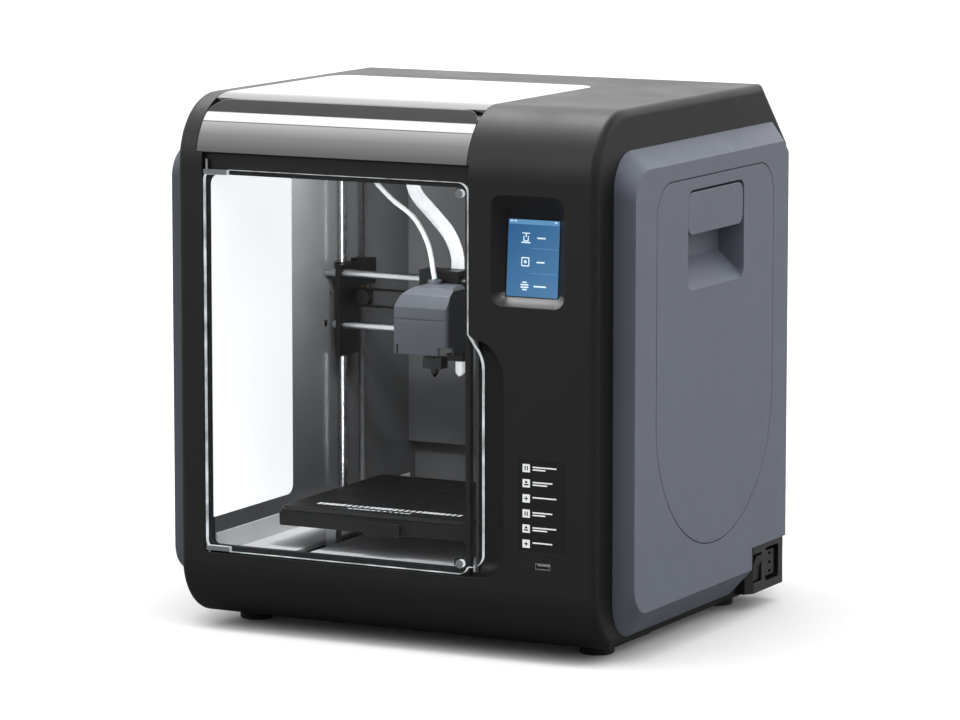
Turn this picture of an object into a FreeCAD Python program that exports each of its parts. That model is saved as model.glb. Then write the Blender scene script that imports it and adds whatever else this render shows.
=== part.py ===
import FreeCAD, Part
import math
import os

from FreeCAD import Vector

# Enclosed desktop 3-D printer. +X right, +Y to the back, +Z up, millimetres.
# The origin is the centre of the footprint, at the height of the feet's undersides.

OUT_DIR = "parts"

# Housing
BODY_X = 175.0            # half width of the black housing
FRONT = -170.0            # front face
REAR = 170.0              # rear face
BODY_BOTTOM = 8.0         # underside at the front
BODY_TOP = 405.0
TOP_ARC = 50.0            # curve from the front face to the top
BOTTOM_ARC = 45.0         # curve from the front face to the underside
REAR_BEVEL = 48.0         # slope between the top and the rear face
SIDE_ROUND = 6.0          # rounding of the housing's side edges
BOTTOM_ROUND = 12.0
WALL = 3.0
FRONT_WALL = 10.0         # depth of the front frame around the door
FLOOR_WALL = 6.0          # thickness of the underside
DIVIDER_X = 74.5          # inner face of the wall between chamber and filament bay
BASE_STEP_Y = -65.0       # behind this line the underside is higher
BASE_STEP = 3.0
BASE_HALF = 128.0         # opening in the underside, closed by the base pan
BASE_FRONT = -88.0
BASE_REAR = 136.0
FOOT_X = 145.0
FOOT_Y = 106.0

# Door and front opening
DOOR_LEFT = -152.0
DOOR_RIGHT = 70.0
DOOR_LOW = 62.0
DOOR_HIGH = 351.0
DOOR_THICK = 4.0
DOOR_CORNER = 8.0
DOOR_GAP = 1.2            # clearance all round the door
DOOR_BACK = 1.1           # clearance behind the door, for its edge to turn in
TAB_RIGHT = 82.4          # end of the door's finger tab
TAB_TOP = 242.0
TAB_FULL = 226.0          # the tab has its full width below this height
PIVOT_X = -150.0
PIVOT_Y = -168.0
PIN_R = 1.0
FRAME_LIP = 4.0           # the frame behind the door's edge
HINGE_LIP = 2.0           # the same on the hinge side
BAND_HIGH = 364.0         # lower edge of the glossy curve above the door

# Finger pocket beside the door
POCKET_RIGHT = 100.0
POCKET_LOW = 61.0
POCKET_TOP = 242.0
POCKET_DEPTH = 14.0
POCKET_ROUND = 10.0       # scooped edges at the pocket's floor

# Lid
LID_LEFT = -158.0
LID_RIGHT = 69.0
LID_SEAM_Y = -138.0       # joint between the lid and the fixed front curve
LID_REAR = 50.0
LID_THICK = 3.0
LID_CORNER = 18.0
LID_LEDGE = 7.0           # width of the ledge that carries the lid

# Chamber
CH_LEFT = -150.0
CH_RIGHT = 72.0
CH_REAR = 150.0
CH_REAR_LOW = 161.0       # the rear wall is recessed behind the bed
CH_SHELF = 100.0
LINER = 2.0
FLOOR_TOP = 58.0
FLOOR_THICK = 3.0
SKIRT_TOP = 73.5          # upturned sides of the floor tray
WINDOW_FRONT = -159.4
WINDOW_REAR = -40.0
WINDOW_LOW = 86.0
WINDOW_HIGH = 345.0
WINDOW_CORNER = 8.0
WINDOW_THICK = 3.0

# Grey side panels
PANEL_OUT = 194.0
PANEL_FRONT = -143.0
PANEL_REAR = 150.0
PANEL_LOW = 17.0
PANEL_HIGH = 375.0
FACE_FRONT = -145.5
FACE_REAR = 127.0
FACE_LOW = 37.5
FACE_HIGH = 362.5
PANEL_WALL = 3.0
SIDE_OPEN = (-125.0, -42.0, 92.0, 330.0)   # window in the left panel: front, rear, low, high

# Filament cover: a shield outline on the right panel
COVER_FRONT = -110.0
COVER_REAR = 99.0
COVER_HIGH = 350.0
COVER_CORNER = 25.0
COVER_R = (COVER_REAR - COVER_FRONT) / 2.0
COVER_Y = (COVER_REAR + COVER_FRONT) / 2.0
COVER_ARC_Z = 175.0
COVER_THICK = 3.0
COVER_GAP = 0.8
LATCH = (-56.0, 44.0, 306.0, 340.5)        # front, rear, low, high
SCOOP_LOW = 266.0
SCOOP_DEPTH = 21.5
SCOOP_RAMP = 286.0        # top of the ramp at the scoop's bottom
LATCH_CORNER = 8.0

# Power inlet, at the rear of the right side
NOTCH_FRONT = 64.0
NOTCH_HIGH = 54.5
INLET = (78.0, 140.0, 14.5, 52.0)          # front, rear, low, high
INLET_OUT = 186.0

# Screen and label on the front
SCREEN = (96.9, 141.1, 269.0, 327.2)       # left, right, low, high of the glass
RECESS = (89.2, 149.0, 262.9, 344.0)
RECESS_CORNER = 9.0
SCREEN_LOW_Y = -162.9
SCREEN_TILT = 4.3
SCREEN_THICK = 4.0
LABEL = (112.4, 149.4, 84.3, 151.2)
LABEL_THICK = 0.4
USB = (125.8, 138.0, 71.4, 76.1)

# Vertical guides and the travelling gantry
GUIDE_X = 102.0           # guides stand this far from the chamber's middle
MID_X = -41.0             # middle of the chamber
GUIDE_Y = 28.0
GUIDE_R = 3.0
SCREW_Y = 59.0
SCREW_R = 2.6
GUIDE_TOP = 376.0
RUN_GAP = 0.05            # radial running clearance
X_ROD_Y = 12.0
X_ROD_HIGH = 253.5
X_ROD_LOW = 213.0
X_ROD_R = 3.0
BLOCK_LOW = 188.0
BLOCK_HIGH = 260.0
NUT_ARM_Z = 240.0         # the arm to the lead screw's nut starts here

# Smaller pieces.
HOOK_Y = (-30.0, 19.0)    # the cover's two lower hooks
HOOK_Z = 95.0
HOOK_REACH = 12.0
BOARD_LEFT = 104.0        # control board on edge behind the screen
BOARD_LOW = 100.0
BOARD_Y = -136.4
SCREW_HEAD_R = 3.0        # housing screws
SCREW_SHANK_R = 1.4
PLATE_IN = 93.0           # inner face of the gantry plates, from the middle
PLATE_THICK = 3.5
X_BELT_Z = 233.0
X_BELT_Y = (26.0, 32.0)
BELT_R = 6.0
BELT_THICK = 1.2
X_MOTOR_X = 33.0
X_IDLER_X = -125.0

# Print head
HEAD_X = -46.0
HEAD_HALF = 23.5
HEAD_FRONT = -24.0
HEAD_REAR = 5.0
HEAD_LOW = 199.0
HEAD_BEVEL_Z = 235.3
HEAD_SEAM_Z = 226.0
HEAD_TOP = 251.5
NOZZLE_Y = 2.0
NOZZLE_TIP = 179.0
TAB_ROOF = 193.4          # underside of the release tab's holder
TAB_TIP = 181.7

# Bed
BED_FRONT = -112.0
BED_SIZE = 165.0
BED_LOW = 74.8
BED_HIGH = 85.3
PLATE_HIGH = 89.6
Y_ROD_LEFT = -95.25
Y_ROD_RIGHT = 13.25
Y_ROD_Z = 38.0
Y_ROD_R = 4.0
SLOT_HALF = 6.25
SLOT_FRONT_LEFT = -123.0  # the left slot takes two posts, the right one takes one
SLOT_FRONT_RIGHT = -40.0
SLOT_REAR = 128.0
Y_BELT_Z = 33.5
Y_BELT_X = (-44.0, -38.0)
Y_PULLEY_Y = 129.0
Y_IDLER_Y = -140.0

# Filament bay
SPINDLE_Y = -5.5
SPINDLE_Z = 175.0
SPINDLE_R = 24.0
FAN_Z = 250.0             # exhaust fan in the rear wall
TUBE_CROSS_Y = 76.0       # where the filament tube passes the divider
TUBE_CROSS_Z = 386.0
FEED_Y = 132.0
FEED_Z = 120.0
FEED_MOTOR_X = 82.0
FEED_X = FEED_MOTOR_X + 27.6               # mounting face of the feeder's housing
FEED_PATH_X = FEED_X + 16.0


def box(x0, x1, y0, y1, z0, z1):
    return Part.makeBox(x1 - x0, y1 - y0, z1 - z0, Vector(x0, y0, z0))


def cyl_x(r, x0, x1, y, z):
    return Part.makeCylinder(r, x1 - x0, Vector(x0, y, z), Vector(1, 0, 0))


def cyl_y(r, y0, y1, x, z):
    return Part.makeCylinder(r, y1 - y0, Vector(x, y0, z), Vector(0, 1, 0))


def cyl_z(r, z0, z1, x, y):
    return Part.makeCylinder(r, z1 - z0, Vector(x, y, z0), Vector(0, 0, 1))


def fuse(shapes):
    result = shapes[0]
    for shape in shapes[1:]:
        result = result.fuse(shape)
    return result.removeSplitter()


def cut(shape, tools):
    for tool in tools:
        shape = shape.cut(tool)
    return shape


def group(shapes):
    return Part.makeCompound(shapes)


def mirrored(shape):
    """The same shape on the other side of the chamber's middle plane."""
    return shape.mirror(Vector(MID_X, 0, 0), Vector(1, 0, 0))


def prism(points, direction):
    """A straight-sided outline pushed along a direction."""
    closed = points + [points[0]]
    return Part.Face(Part.makePolygon(closed)).extrude(direction)


def rounded(plane, a0, a1, b0, b1, start, end, r):
    """A box with four rounded corners; plane names the two axes of its outline."""
    if plane == "xz":
        solid = box(a0, a1, start, end, b0, b1)
        along = Vector(0, 1, 0)
    elif plane == "yz":
        solid = box(start, end, a0, a1, b0, b1)
        along = Vector(1, 0, 0)
    else:
        solid = box(a0, a1, b0, b1, start, end)
        along = Vector(0, 0, 1)
    edges = [e for e in solid.Edges if abs(e.tangentAt(e.FirstParameter).dot(along)) > 0.9]
    return solid.makeFillet(r, edges)


def housing_profile(x0, x1, inset, front):
    """The housing's side outline, inset by a wall, from x0 to x1."""
    arc = TOP_ARC - (front - FRONT)
    low_arc = BOTTOM_ARC - (front - FRONT)
    top = BODY_TOP - inset
    bottom = BODY_BOTTOM + inset
    rear = REAR - inset
    bevel_z = BODY_TOP - REAR_BEVEL - inset * 0.4
    bevel_y = REAR - REAR_BEVEL - inset * 0.4
    arc_y = front + arc
    arc_z = top - arc
    low_y = front + low_arc
    low_z = bottom + low_arc
    diag = math.sqrt(0.5)

    def p(y, z):
        return Vector(x0, y, z)

    edges = [
        Part.makeLine(p(rear, bottom), p(rear, bevel_z)),
        Part.makeLine(p(rear, bevel_z), p(bevel_y, top)),
        Part.makeLine(p(bevel_y, top), p(arc_y, top)),
        Part.Arc(p(arc_y, top), p(arc_y - arc * diag, arc_z + arc * diag),
                 p(front, arc_z)).toShape(),
        Part.makeLine(p(front, arc_z), p(front, low_z)),
        Part.Arc(p(front, low_z), p(low_y - low_arc * diag, low_z - low_arc * diag),
                 p(low_y, bottom)).toShape(),
        Part.makeLine(p(low_y, bottom), p(rear, bottom)),
    ]
    return Part.Face(Part.Wire(edges)).extrude(Vector(x1 - x0, 0, 0))


def housing_solid():
    solid = housing_profile(-BODY_X, BODY_X, 0.0, FRONT)
    ends = []
    for edge in solid.Edges:
        xs = [v.X for v in edge.Vertexes]
        if abs(xs[0] - xs[-1]) < 0.001:
            ends.append(edge)
    solid = solid.makeFillet(SIDE_ROUND, ends)
    rounding = rounded("xz", -BODY_X, BODY_X, BODY_BOTTOM, BODY_TOP + 40.0, FRONT, REAR, BOTTOM_ROUND)
    return solid.common(rounding)


def finger_pocket():
    """The scoop beside the door's tab, with an S-shaped shoulder at its top."""
    y = FRONT - 1.0

    def p(x, z):
        return Vector(x, y, z)

    shoulder_x = DOOR_RIGHT + 9.0
    edges = [
        Part.makeLine(p(DOOR_RIGHT, POCKET_LOW), p(POCKET_RIGHT - 18.0, POCKET_LOW)),
        Part.Arc(p(POCKET_RIGHT - 18.0, POCKET_LOW), p(POCKET_RIGHT - 5.3, POCKET_LOW + 5.3),
                 p(POCKET_RIGHT, POCKET_LOW + 18.0)).toShape(),
        Part.makeLine(p(POCKET_RIGHT, POCKET_LOW + 18.0), p(POCKET_RIGHT, 205.0)),
        Part.Arc(p(POCKET_RIGHT, 205.0), p(97.0, 220.5), p(89.0, 232.0)).toShape(),
        Part.Arc(p(89.0, 232.0), p(84.5, 234.8), p(shoulder_x, 236.5)).toShape(),
        Part.Arc(p(shoulder_x, 236.5), p(73.5, 238.5), p(DOOR_RIGHT, POCKET_TOP)).toShape(),
        Part.makeLine(p(DOOR_RIGHT, POCKET_TOP), p(DOOR_RIGHT, POCKET_LOW)),
    ]
    cutter = Part.Face(Part.Wire(edges)).extrude(Vector(0, POCKET_DEPTH + 1.0, 0))
    floor_edges = [e for e in cutter.Edges
                   if e.BoundBox.YMin > y + POCKET_DEPTH and e.BoundBox.XMax > DOOR_RIGHT + 4.0
                   and e.BoundBox.ZMax < 206.0]
    return cutter.makeFillet(POCKET_ROUND, floor_edges)


def lid_zone(y0, y1, outset, grow):
    """The part of the housing's skin taken by the lid and the glossy front curve."""
    left = LID_LEFT - grow
    right = LID_RIGHT + grow
    skin = housing_profile(left, right, -outset, FRONT - outset)
    inner = housing_profile(left, right, LID_THICK + grow, FRONT + LID_THICK + grow)
    window = rounded("xy", left, right, FRONT - 60.0, y1 + grow,
                     BAND_HIGH - grow, BODY_TOP + 10.0, LID_CORNER)
    strip = box(left, right, y0 - grow, y1 + grow, BAND_HIGH - grow, BODY_TOP + 10.0)
    return skin.cut(inner).common(window).common(strip)


def shield(x0, x1, inset):
    """The filament cover's outline: round below, rounded corners above."""
    front = COVER_FRONT + inset
    rear = COVER_REAR - inset
    high = COVER_HIGH - inset
    r = COVER_CORNER - inset
    lower = cyl_x(COVER_R - inset, x0, x1, COVER_Y, COVER_ARC_Z)
    middle = box(x0, x1, front, rear, COVER_ARC_Z, high - r)
    upper = box(x0, x1, front + r, rear - r, high - r - 1.0, high)
    corners = [cyl_x(r, x0, x1, y, high - r) for y in (front + r, rear - r)]
    return fuse([lower, middle, upper] + corners)


def panel_solid():
    """Right-hand grey panel: a shallow frustum with rounded front corners and clipped rear corners."""
    def outline(x, front, rear, low, high, r, clip):
        def p(y, z):
            return Vector(x, y, z)
        k = r * (1.0 - math.sqrt(0.5))
        low_clip = clip * 0.55
        return Part.Wire([
            Part.makeLine(p(front, low + r), p(front, high - r)),
            Part.Arc(p(front, high - r), p(front + k, high - k), p(front + r, high)).toShape(),
            Part.makeLine(p(front + r, high), p(rear - clip, high)),
            Part.makeLine(p(rear - clip, high), p(rear, high - clip)),
            Part.makeLine(p(rear, high - clip), p(rear, low + low_clip)),
            Part.makeLine(p(rear, low + low_clip), p(rear - low_clip, low)),
            Part.makeLine(p(rear - low_clip, low), p(front + r, low)),
            Part.Arc(p(front + r, low), p(front + k, low + k), p(front, low + r)).toShape(),
        ])
    base = outline(BODY_X + 0.1, PANEL_FRONT, PANEL_REAR, PANEL_LOW, PANEL_HIGH, 28.0, 13.0)
    face = outline(PANEL_OUT, FACE_FRONT, FACE_REAR, FACE_LOW, FACE_HIGH, 22.0, 9.0)
    return Part.makeLoft([base, face], True, True)


def panel_hollow():
    """The space behind the panel's skin."""
    return box(BODY_X - 1.0, PANEL_OUT - PANEL_WALL - 2.0, FACE_FRONT + 14.0, FACE_REAR - 8.0,
               FACE_LOW + 12.0, FACE_HIGH - 8.0)


def hollows():
    """Spaces inside the housing: chamber, filament bay and the electronics space under both."""
    inside = housing_profile(-BODY_X + WALL, BODY_X - WALL, WALL, FRONT + FRONT_WALL)
    plinth = prism([Vector(-200, REAR + 1, 45), Vector(-200, 151.5, 34), Vector(-200, 151.5, 0),
                    Vector(-200, REAR + 1, 0)], Vector(400, 0, 0))
    inside = inside.common(box(-200, 200, FRONT, REAR, BODY_BOTTOM + FLOOR_WALL, BODY_TOP)).cut(plinth)
    divider = box(DIVIDER_X, DIVIDER_X + WALL, -200.0, 200.0, FLOOR_TOP - 4.0, 450.0)
    column = housing_profile(DIVIDER_X + WALL, BODY_X - WALL, WALL, FRONT + 3.0)
    column = column.common(box(-200, 200, FRONT, -100, 40.0, 400.0))
    pocket_back = box(DIVIDER_X, POCKET_RIGHT + 4.0, FRONT, FRONT + POCKET_DEPTH + 3.0, 0.0, BAND_HIGH)
    screen_back = box(RECESS[0] - 3.0, RECESS[1] + 3.0, FRONT, FRONT + 25.0,
                      RECESS[2] - 3.0, RECESS[3] + 3.0)
    return inside.cut(divider).fuse(column).cut(pocket_back).cut(screen_back)


def main_shell():
    shell = housing_solid().cut(hollows())
    rebate = rounded("xz", DOOR_LEFT - DOOR_GAP, DOOR_RIGHT + DOOR_GAP, DOOR_LOW - DOOR_GAP,
                     BAND_HIGH + 30.0, FRONT - 1.0, FRONT + DOOR_THICK + DOOR_BACK, 3.0)
    rebate = rebate.common(box(-200, 200, -200, 0, 0, BAND_HIGH))
    opening = rounded("xz", DOOR_LEFT + HINGE_LIP, DOOR_RIGHT - FRAME_LIP, DOOR_LOW + FRAME_LIP,
                      DOOR_HIGH - FRAME_LIP, FRONT - 1.0, FRONT + FRONT_WALL + 1.0, DOOR_CORNER)
    relief = box(DOOR_LEFT, DOOR_LEFT + DOOR_CORNER, FRONT + DOOR_THICK + 4.0, FRONT + FRONT_WALL + 1.0,
                 DOOR_LOW + FRAME_LIP, DOOR_HIGH - FRAME_LIP)
    lid_mouth = rounded("xy", LID_LEFT + LID_LEDGE, LID_RIGHT - LID_LEDGE, LID_SEAM_Y + LID_LEDGE,
                        LID_REAR - LID_LEDGE, BODY_TOP - 20.0, BODY_TOP + 1.0, LID_CORNER - 6.0)
    lid_space = lid_zone(FRONT - 60.0, LID_REAR, 5.0, 0.5)
    shell = cut(shell, [rebate, opening, relief, finger_pocket(), lid_space, lid_mouth])
    shell = cut(shell, [side_opening(-BODY_X - 1.0, -BODY_X + WALL + 1.0)])
    shell = cut(shell, [shield(BODY_X - WALL - 1.0, BODY_X + 1.0, 8.0)])
    shell = cut(shell, [screen_recess(), screen_seat(), usb_hole(), label_recess()])
    shell = cut(shell, [rear_opening(), base_opening()])
    inlet_hole = box(BODY_X - WALL - 1.0, BODY_X + 1.0, INLET[0] - 0.3, INLET[1] + 0.3,
                     INLET[2] - 0.3, INLET[3] + 0.3)
    tube_hole = cyl_x(3.5, DIVIDER_X - 1.0, DIVIDER_X + WALL + 1.0, TUBE_CROSS_Y, TUBE_CROSS_Z)
    pin_holes = [cyl_z(PIN_R + RUN_GAP, z - 4.0, z + 4.0, PIVOT_X, PIVOT_Y)
                 for z in (DOOR_LOW - DOOR_GAP, DOOR_HIGH + 4.0)]
    return cut(shell, [inlet_hole, tube_hole, rear_notch(), base_step()] + pin_holes)


def side_opening(x0, x1):
    return rounded("yz", SIDE_OPEN[0], SIDE_OPEN[1], SIDE_OPEN[2], SIDE_OPEN[3], x0, x1, 10.0)


def outline_xz(x0, x1, z0, z1, r, y):
    """A closed rounded rectangle that stands upright at one depth."""
    k = r * (1.0 - math.sqrt(0.5))

    def p(x, z):
        return Vector(x, y, z)

    edges = [
        Part.makeLine(p(x0 + r, z0), p(x1 - r, z0)),
        Part.Arc(p(x1 - r, z0), p(x1 - k, z0 + k), p(x1, z0 + r)).toShape(),
        Part.makeLine(p(x1, z0 + r), p(x1, z1 - r)),
        Part.Arc(p(x1, z1 - r), p(x1 - k, z1 - k), p(x1 - r, z1)).toShape(),
        Part.makeLine(p(x1 - r, z1), p(x0 + r, z1)),
        Part.Arc(p(x0 + r, z1), p(x0 + k, z1 - k), p(x0, z1 - r)).toShape(),
        Part.makeLine(p(x0, z1 - r), p(x0, z0 + r)),
        Part.Arc(p(x0, z0 + r), p(x0 + k, z0 + k), p(x0 + r, z0)).toShape(),
    ]
    return Part.Wire(edges)


def screen_recess():
    """Pocket whose four walls slope in to the edge of the tilted glass."""
    mouth = outline_xz(RECESS[0], RECESS[1], RECESS[2], RECESS[3], RECESS_CORNER, FRONT)
    seat = screen_plane(outline_xz(SCREEN[0] + 0.4, SCREEN[1] - 0.4, SCREEN[2] + 0.4, SCREEN[3] - 0.4, 1.0,
                                   SCREEN_LOW_Y))
    funnel = Part.makeLoft([mouth, seat], True, True)
    lead_in = rounded("xz", RECESS[0], RECESS[1], RECESS[2], RECESS[3], FRONT - 5.0, FRONT, RECESS_CORNER)
    opening = screen_plane(box(SCREEN[0] + 0.4, SCREEN[1] - 0.4, SCREEN_LOW_Y - 0.2, SCREEN_LOW_Y + 0.5,
                               SCREEN[2] + 0.4, SCREEN[3] - 0.4))
    return fuse([funnel, lead_in, opening])


def screen_seat():
    return screen_plane(box(SCREEN[0] - 0.2, SCREEN[1] + 0.2, SCREEN_LOW_Y + 0.1,
                            SCREEN_LOW_Y + SCREEN_THICK + 0.3, SCREEN[2] - 0.2, SCREEN[3] + 0.2))


def usb_hole():
    return box(USB[0] - 0.2, USB[1] + 0.2, FRONT - 1.0, FRONT + 4.0, USB[2] - 0.2, USB[3] + 0.2)


def label_recess():
    return box(LABEL[0] - 0.2, LABEL[1] + 0.2, FRONT - 1.0, FRONT + LABEL_THICK + 0.05,
               LABEL[2] - 0.2, LABEL[3] + 0.2)


def rear_opening():
    return rounded("xz", -160.0, 160.0, 60.0, 345.0, REAR - WALL - 1.0, REAR + 1.0, 10.0)


def base_opening():
    return rounded("xy", -BASE_HALF, BASE_HALF, BASE_FRONT, BASE_REAR, BODY_BOTTOM - 1.0,
                   BODY_BOTTOM + FLOOR_WALL + 1.0, 12.0)


def rear_notch():
    """The rear wall's foot slants in and ends in a set-back plinth."""
    outline = [Vector(-200, REAR + 1, 41.5), Vector(-200, REAR, 41), Vector(-200, 154.5, 31),
               Vector(-200, 154.5, 0), Vector(-200, REAR + 1, 0)]
    return prism(outline, Vector(400, 0, 0))


def base_step():
    return box(-200.0, 200.0, BASE_STEP_Y, REAR + 1.0, 0.0, BODY_BOTTOM + BASE_STEP)


def base_pan():
    """The flat metal pan that closes the underside, with a row of air slots."""
    pan = rounded("xy", -BASE_HALF + 0.5, BASE_HALF - 0.5, BASE_FRONT + 0.5, BASE_REAR - 0.5,
                  BODY_BOTTOM + BASE_STEP + 0.2, BODY_BOTTOM + BASE_STEP + 1.7, 11.5)
    slots = []
    for column in range(12):
        x = 30.0 + column * 7.0
        slots.append(box(x, x + 3.0, -40.0, 20.0, 0.0, 20.0))
    return cut(pan, slots)


def foot_shape(x, y):
    foot = cyl_z(13.0, 0.0, 7.6, x, y)
    rim = [e for e in foot.Edges if e.BoundBox.ZMax < 0.01]
    return foot.makeFillet(1.5, rim)


def feet():
    front = [foot_shape(x, -FOOT_Y) for x in (-FOOT_X, FOOT_X)]
    rear = [foot_shape(x, FOOT_Y).fuse(cyl_z(8.0, 7.0, BODY_BOTTOM + BASE_STEP - 0.1, x, FOOT_Y))
            for x in (-FOOT_X, FOOT_X)]
    return group(front + rear)


def chamber_liner():
    """Inner walls: left with the window frame, right, and the stepped rear wall."""
    top = 366.0
    front = FRONT + FRONT_WALL + 0.3
    low = FLOOR_TOP + 0.2
    left = box(CH_LEFT - LINER - 2.0, CH_LEFT, front, CH_REAR + LINER, low, top)
    pane = rounded("yz", FRONT - 5.0, WINDOW_REAR, WINDOW_LOW, WINDOW_HIGH, CH_LEFT - 10.0,
                   CH_LEFT + 1.0, WINDOW_CORNER)
    left = left.cut(pane)
    right = box(CH_RIGHT, CH_RIGHT + LINER, front, CH_REAR + LINER, low, top)
    right_low = box(CH_RIGHT, CH_RIGHT + LINER, CH_REAR, CH_REAR_LOW + LINER, low, CH_SHELF + LINER)
    upper = box(CH_LEFT - 1.0, CH_RIGHT + 1.0, CH_REAR, CH_REAR + LINER, CH_SHELF, top)
    shelf = box(CH_LEFT - 1.0, CH_RIGHT + 1.0, CH_REAR, CH_REAR_LOW + LINER, CH_SHELF, CH_SHELF + LINER)
    lower = box(CH_LEFT - 1.0, CH_RIGHT + 1.0, CH_REAR_LOW, CH_REAR_LOW + LINER, low, CH_SHELF + 1.0)
    left_low = box(CH_LEFT - LINER, CH_LEFT, CH_REAR, CH_REAR_LOW + LINER, low, CH_SHELF + LINER)
    bridges = []
    for sign in (-1, 1):
        x = MID_X + sign * GUIDE_X
        ends = sorted([x - sign * 8.0, x + sign * 11.5])
        bridges.append(box(ends[0], ends[1], GUIDE_Y - 10.0, SCREW_Y + 10.0,
                           GUIDE_TOP - 4.0, GUIDE_TOP + 6.0))
    walls = fuse([left, right, right_low, upper, shelf, lower, left_low])
    posts = [box(x0, x1, GUIDE_Y - 10.0, SCREW_Y + 10.0, top - 2.0, GUIDE_TOP + 6.0)
             for x0, x1 in ((CH_LEFT - 2.0, CH_LEFT + 0.5), (CH_RIGHT - 0.5, CH_RIGHT + LINER))]
    walls = fuse([walls] + bridges + posts)
    holes = [cyl_y(29.0, CH_REAR - 1.0, CH_REAR + LINER + 1.0, MID_X, FAN_Z)]
    for sign in (-1, 1):
        x = MID_X + sign * GUIDE_X
        holes.append(cyl_z(GUIDE_R + RUN_GAP, GUIDE_TOP - 5.0, GUIDE_TOP + 0.1, x, GUIDE_Y))
        holes.append(cyl_z(SCREW_R + RUN_GAP, GUIDE_TOP - 5.0, GUIDE_TOP + 0.1, x, SCREW_Y))
    return cut(walls, holes)


def chamber_floor():
    floor = box(CH_LEFT - 4.0, CH_RIGHT + LINER, FRONT + FRONT_WALL + 0.3, CH_REAR_LOW + LINER,
                FLOOR_TOP - FLOOR_THICK, FLOOR_TOP)
    slots = [rounded("xy", x - SLOT_HALF, x + SLOT_HALF, front, SLOT_REAR,
                     FLOOR_TOP - 5.0, FLOOR_TOP + 1.0, 1.5)
             for x, front in ((Y_ROD_LEFT, SLOT_FRONT_LEFT), (Y_ROD_RIGHT, SLOT_FRONT_RIGHT))]
    holes = []
    for sign in (-1, 1):
        x = MID_X + sign * GUIDE_X
        holes.append(cyl_z(GUIDE_R + RUN_GAP, 50.0, 60.0, x, GUIDE_Y))
        holes.append(cyl_z(SCREW_R + 0.5, 50.0, 60.0, x, SCREW_Y))
    for x in (-135.0, -60.0, 20.0, 55.0):
        for y in (-140.0, 140.0):
            holes.append(cyl_z(1.6, 50.0, 60.0, x, y))
    skirts = [box(x0, x0 + 1.1, FRONT + FRONT_WALL + 0.3, CH_REAR - 0.1, FLOOR_TOP - 1.0, SKIRT_TOP)
              for x0 in (CH_LEFT + 0.05, CH_RIGHT - 1.15)]
    return fuse([cut(floor, slots + holes)] + skirts)


def side_window():
    pane = rounded("yz", FRONT - 5.0, WINDOW_REAR - 0.2, WINDOW_LOW + 0.2, WINDOW_HIGH - 0.2,
                   CH_LEFT - WINDOW_THICK, CH_LEFT - 0.3, WINDOW_CORNER - 0.2)
    return pane.common(box(CH_LEFT - 10.0, CH_LEFT, WINDOW_FRONT, 0.0, 0.0, 400.0))


def left_panel():
    panel = panel_solid().cut(panel_hollow()).mirror(Vector(0, 0, 0), Vector(1, 0, 0))
    return panel.cut(side_opening(-PANEL_OUT - 1.0, -BODY_X + 1.0))


def right_panel():
    panel = panel_solid().cut(panel_hollow())
    notch = box(BODY_X, PANEL_OUT + 1.0, NOTCH_FRONT, PANEL_REAR + 1.0, 0.0, NOTCH_HIGH)
    ledge = shield(PANEL_OUT - COVER_THICK - 0.2, PANEL_OUT + 1.0, 0.0)
    mouth = shield(BODY_X - 1.0, PANEL_OUT + 1.0, 8.0)
    return cut(panel, [notch, ledge, mouth])


def latch_outline(x0, x1, grow, low, high):
    return rounded("yz", LATCH[0] - grow, LATCH[1] + grow, low - grow, high + grow, x0, x1, LATCH_CORNER)


def filament_cover():
    """The cover's skin with a deep scoop and a slot for the latch tab."""
    skin = shield(PANEL_OUT - COVER_THICK, PANEL_OUT, COVER_GAP)
    bowl = latch_outline(PANEL_OUT - SCOOP_DEPTH - 2.0, PANEL_OUT - 0.5, 1.2, SCOOP_LOW, LATCH[3])
    scoop = latch_outline(PANEL_OUT - SCOOP_DEPTH, PANEL_OUT + 1.0, 0.0, SCOOP_LOW, LATCH[3])
    slope = prism([Vector(PANEL_OUT + 1, -70, SCOOP_LOW - 1),
                   Vector(PANEL_OUT - SCOOP_DEPTH, -70, SCOOP_RAMP),
                   Vector(PANEL_OUT - SCOOP_DEPTH - 3, -70, SCOOP_LOW - 4),
                   Vector(PANEL_OUT, -70, SCOOP_LOW - 4)], Vector(0, 130, 0))
    solid = fuse([skin, bowl]).cut(scoop.cut(slope))
    hooks = [box(PANEL_OUT - HOOK_REACH, PANEL_OUT - COVER_THICK, y - 6.0, y + 6.0, HOOK_Z, HOOK_Z + 3.0)
             for y in HOOK_Y]
    return fuse([solid] + hooks)


def cover_latch():
    tab = latch_outline(PANEL_OUT - 4.0, PANEL_OUT - 0.4, -1.0, LATCH[2], LATCH[3] - 0.8)
    edges = [e for e in tab.Edges if e.BoundBox.XMin > PANEL_OUT - 0.5]
    return tab.makeFillet(0.8, edges)


def rear_screw_places():
    return [(x, z) for x in (-152.0, 152.0) for z in (68.0, 202.5, 337.0)]


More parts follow.
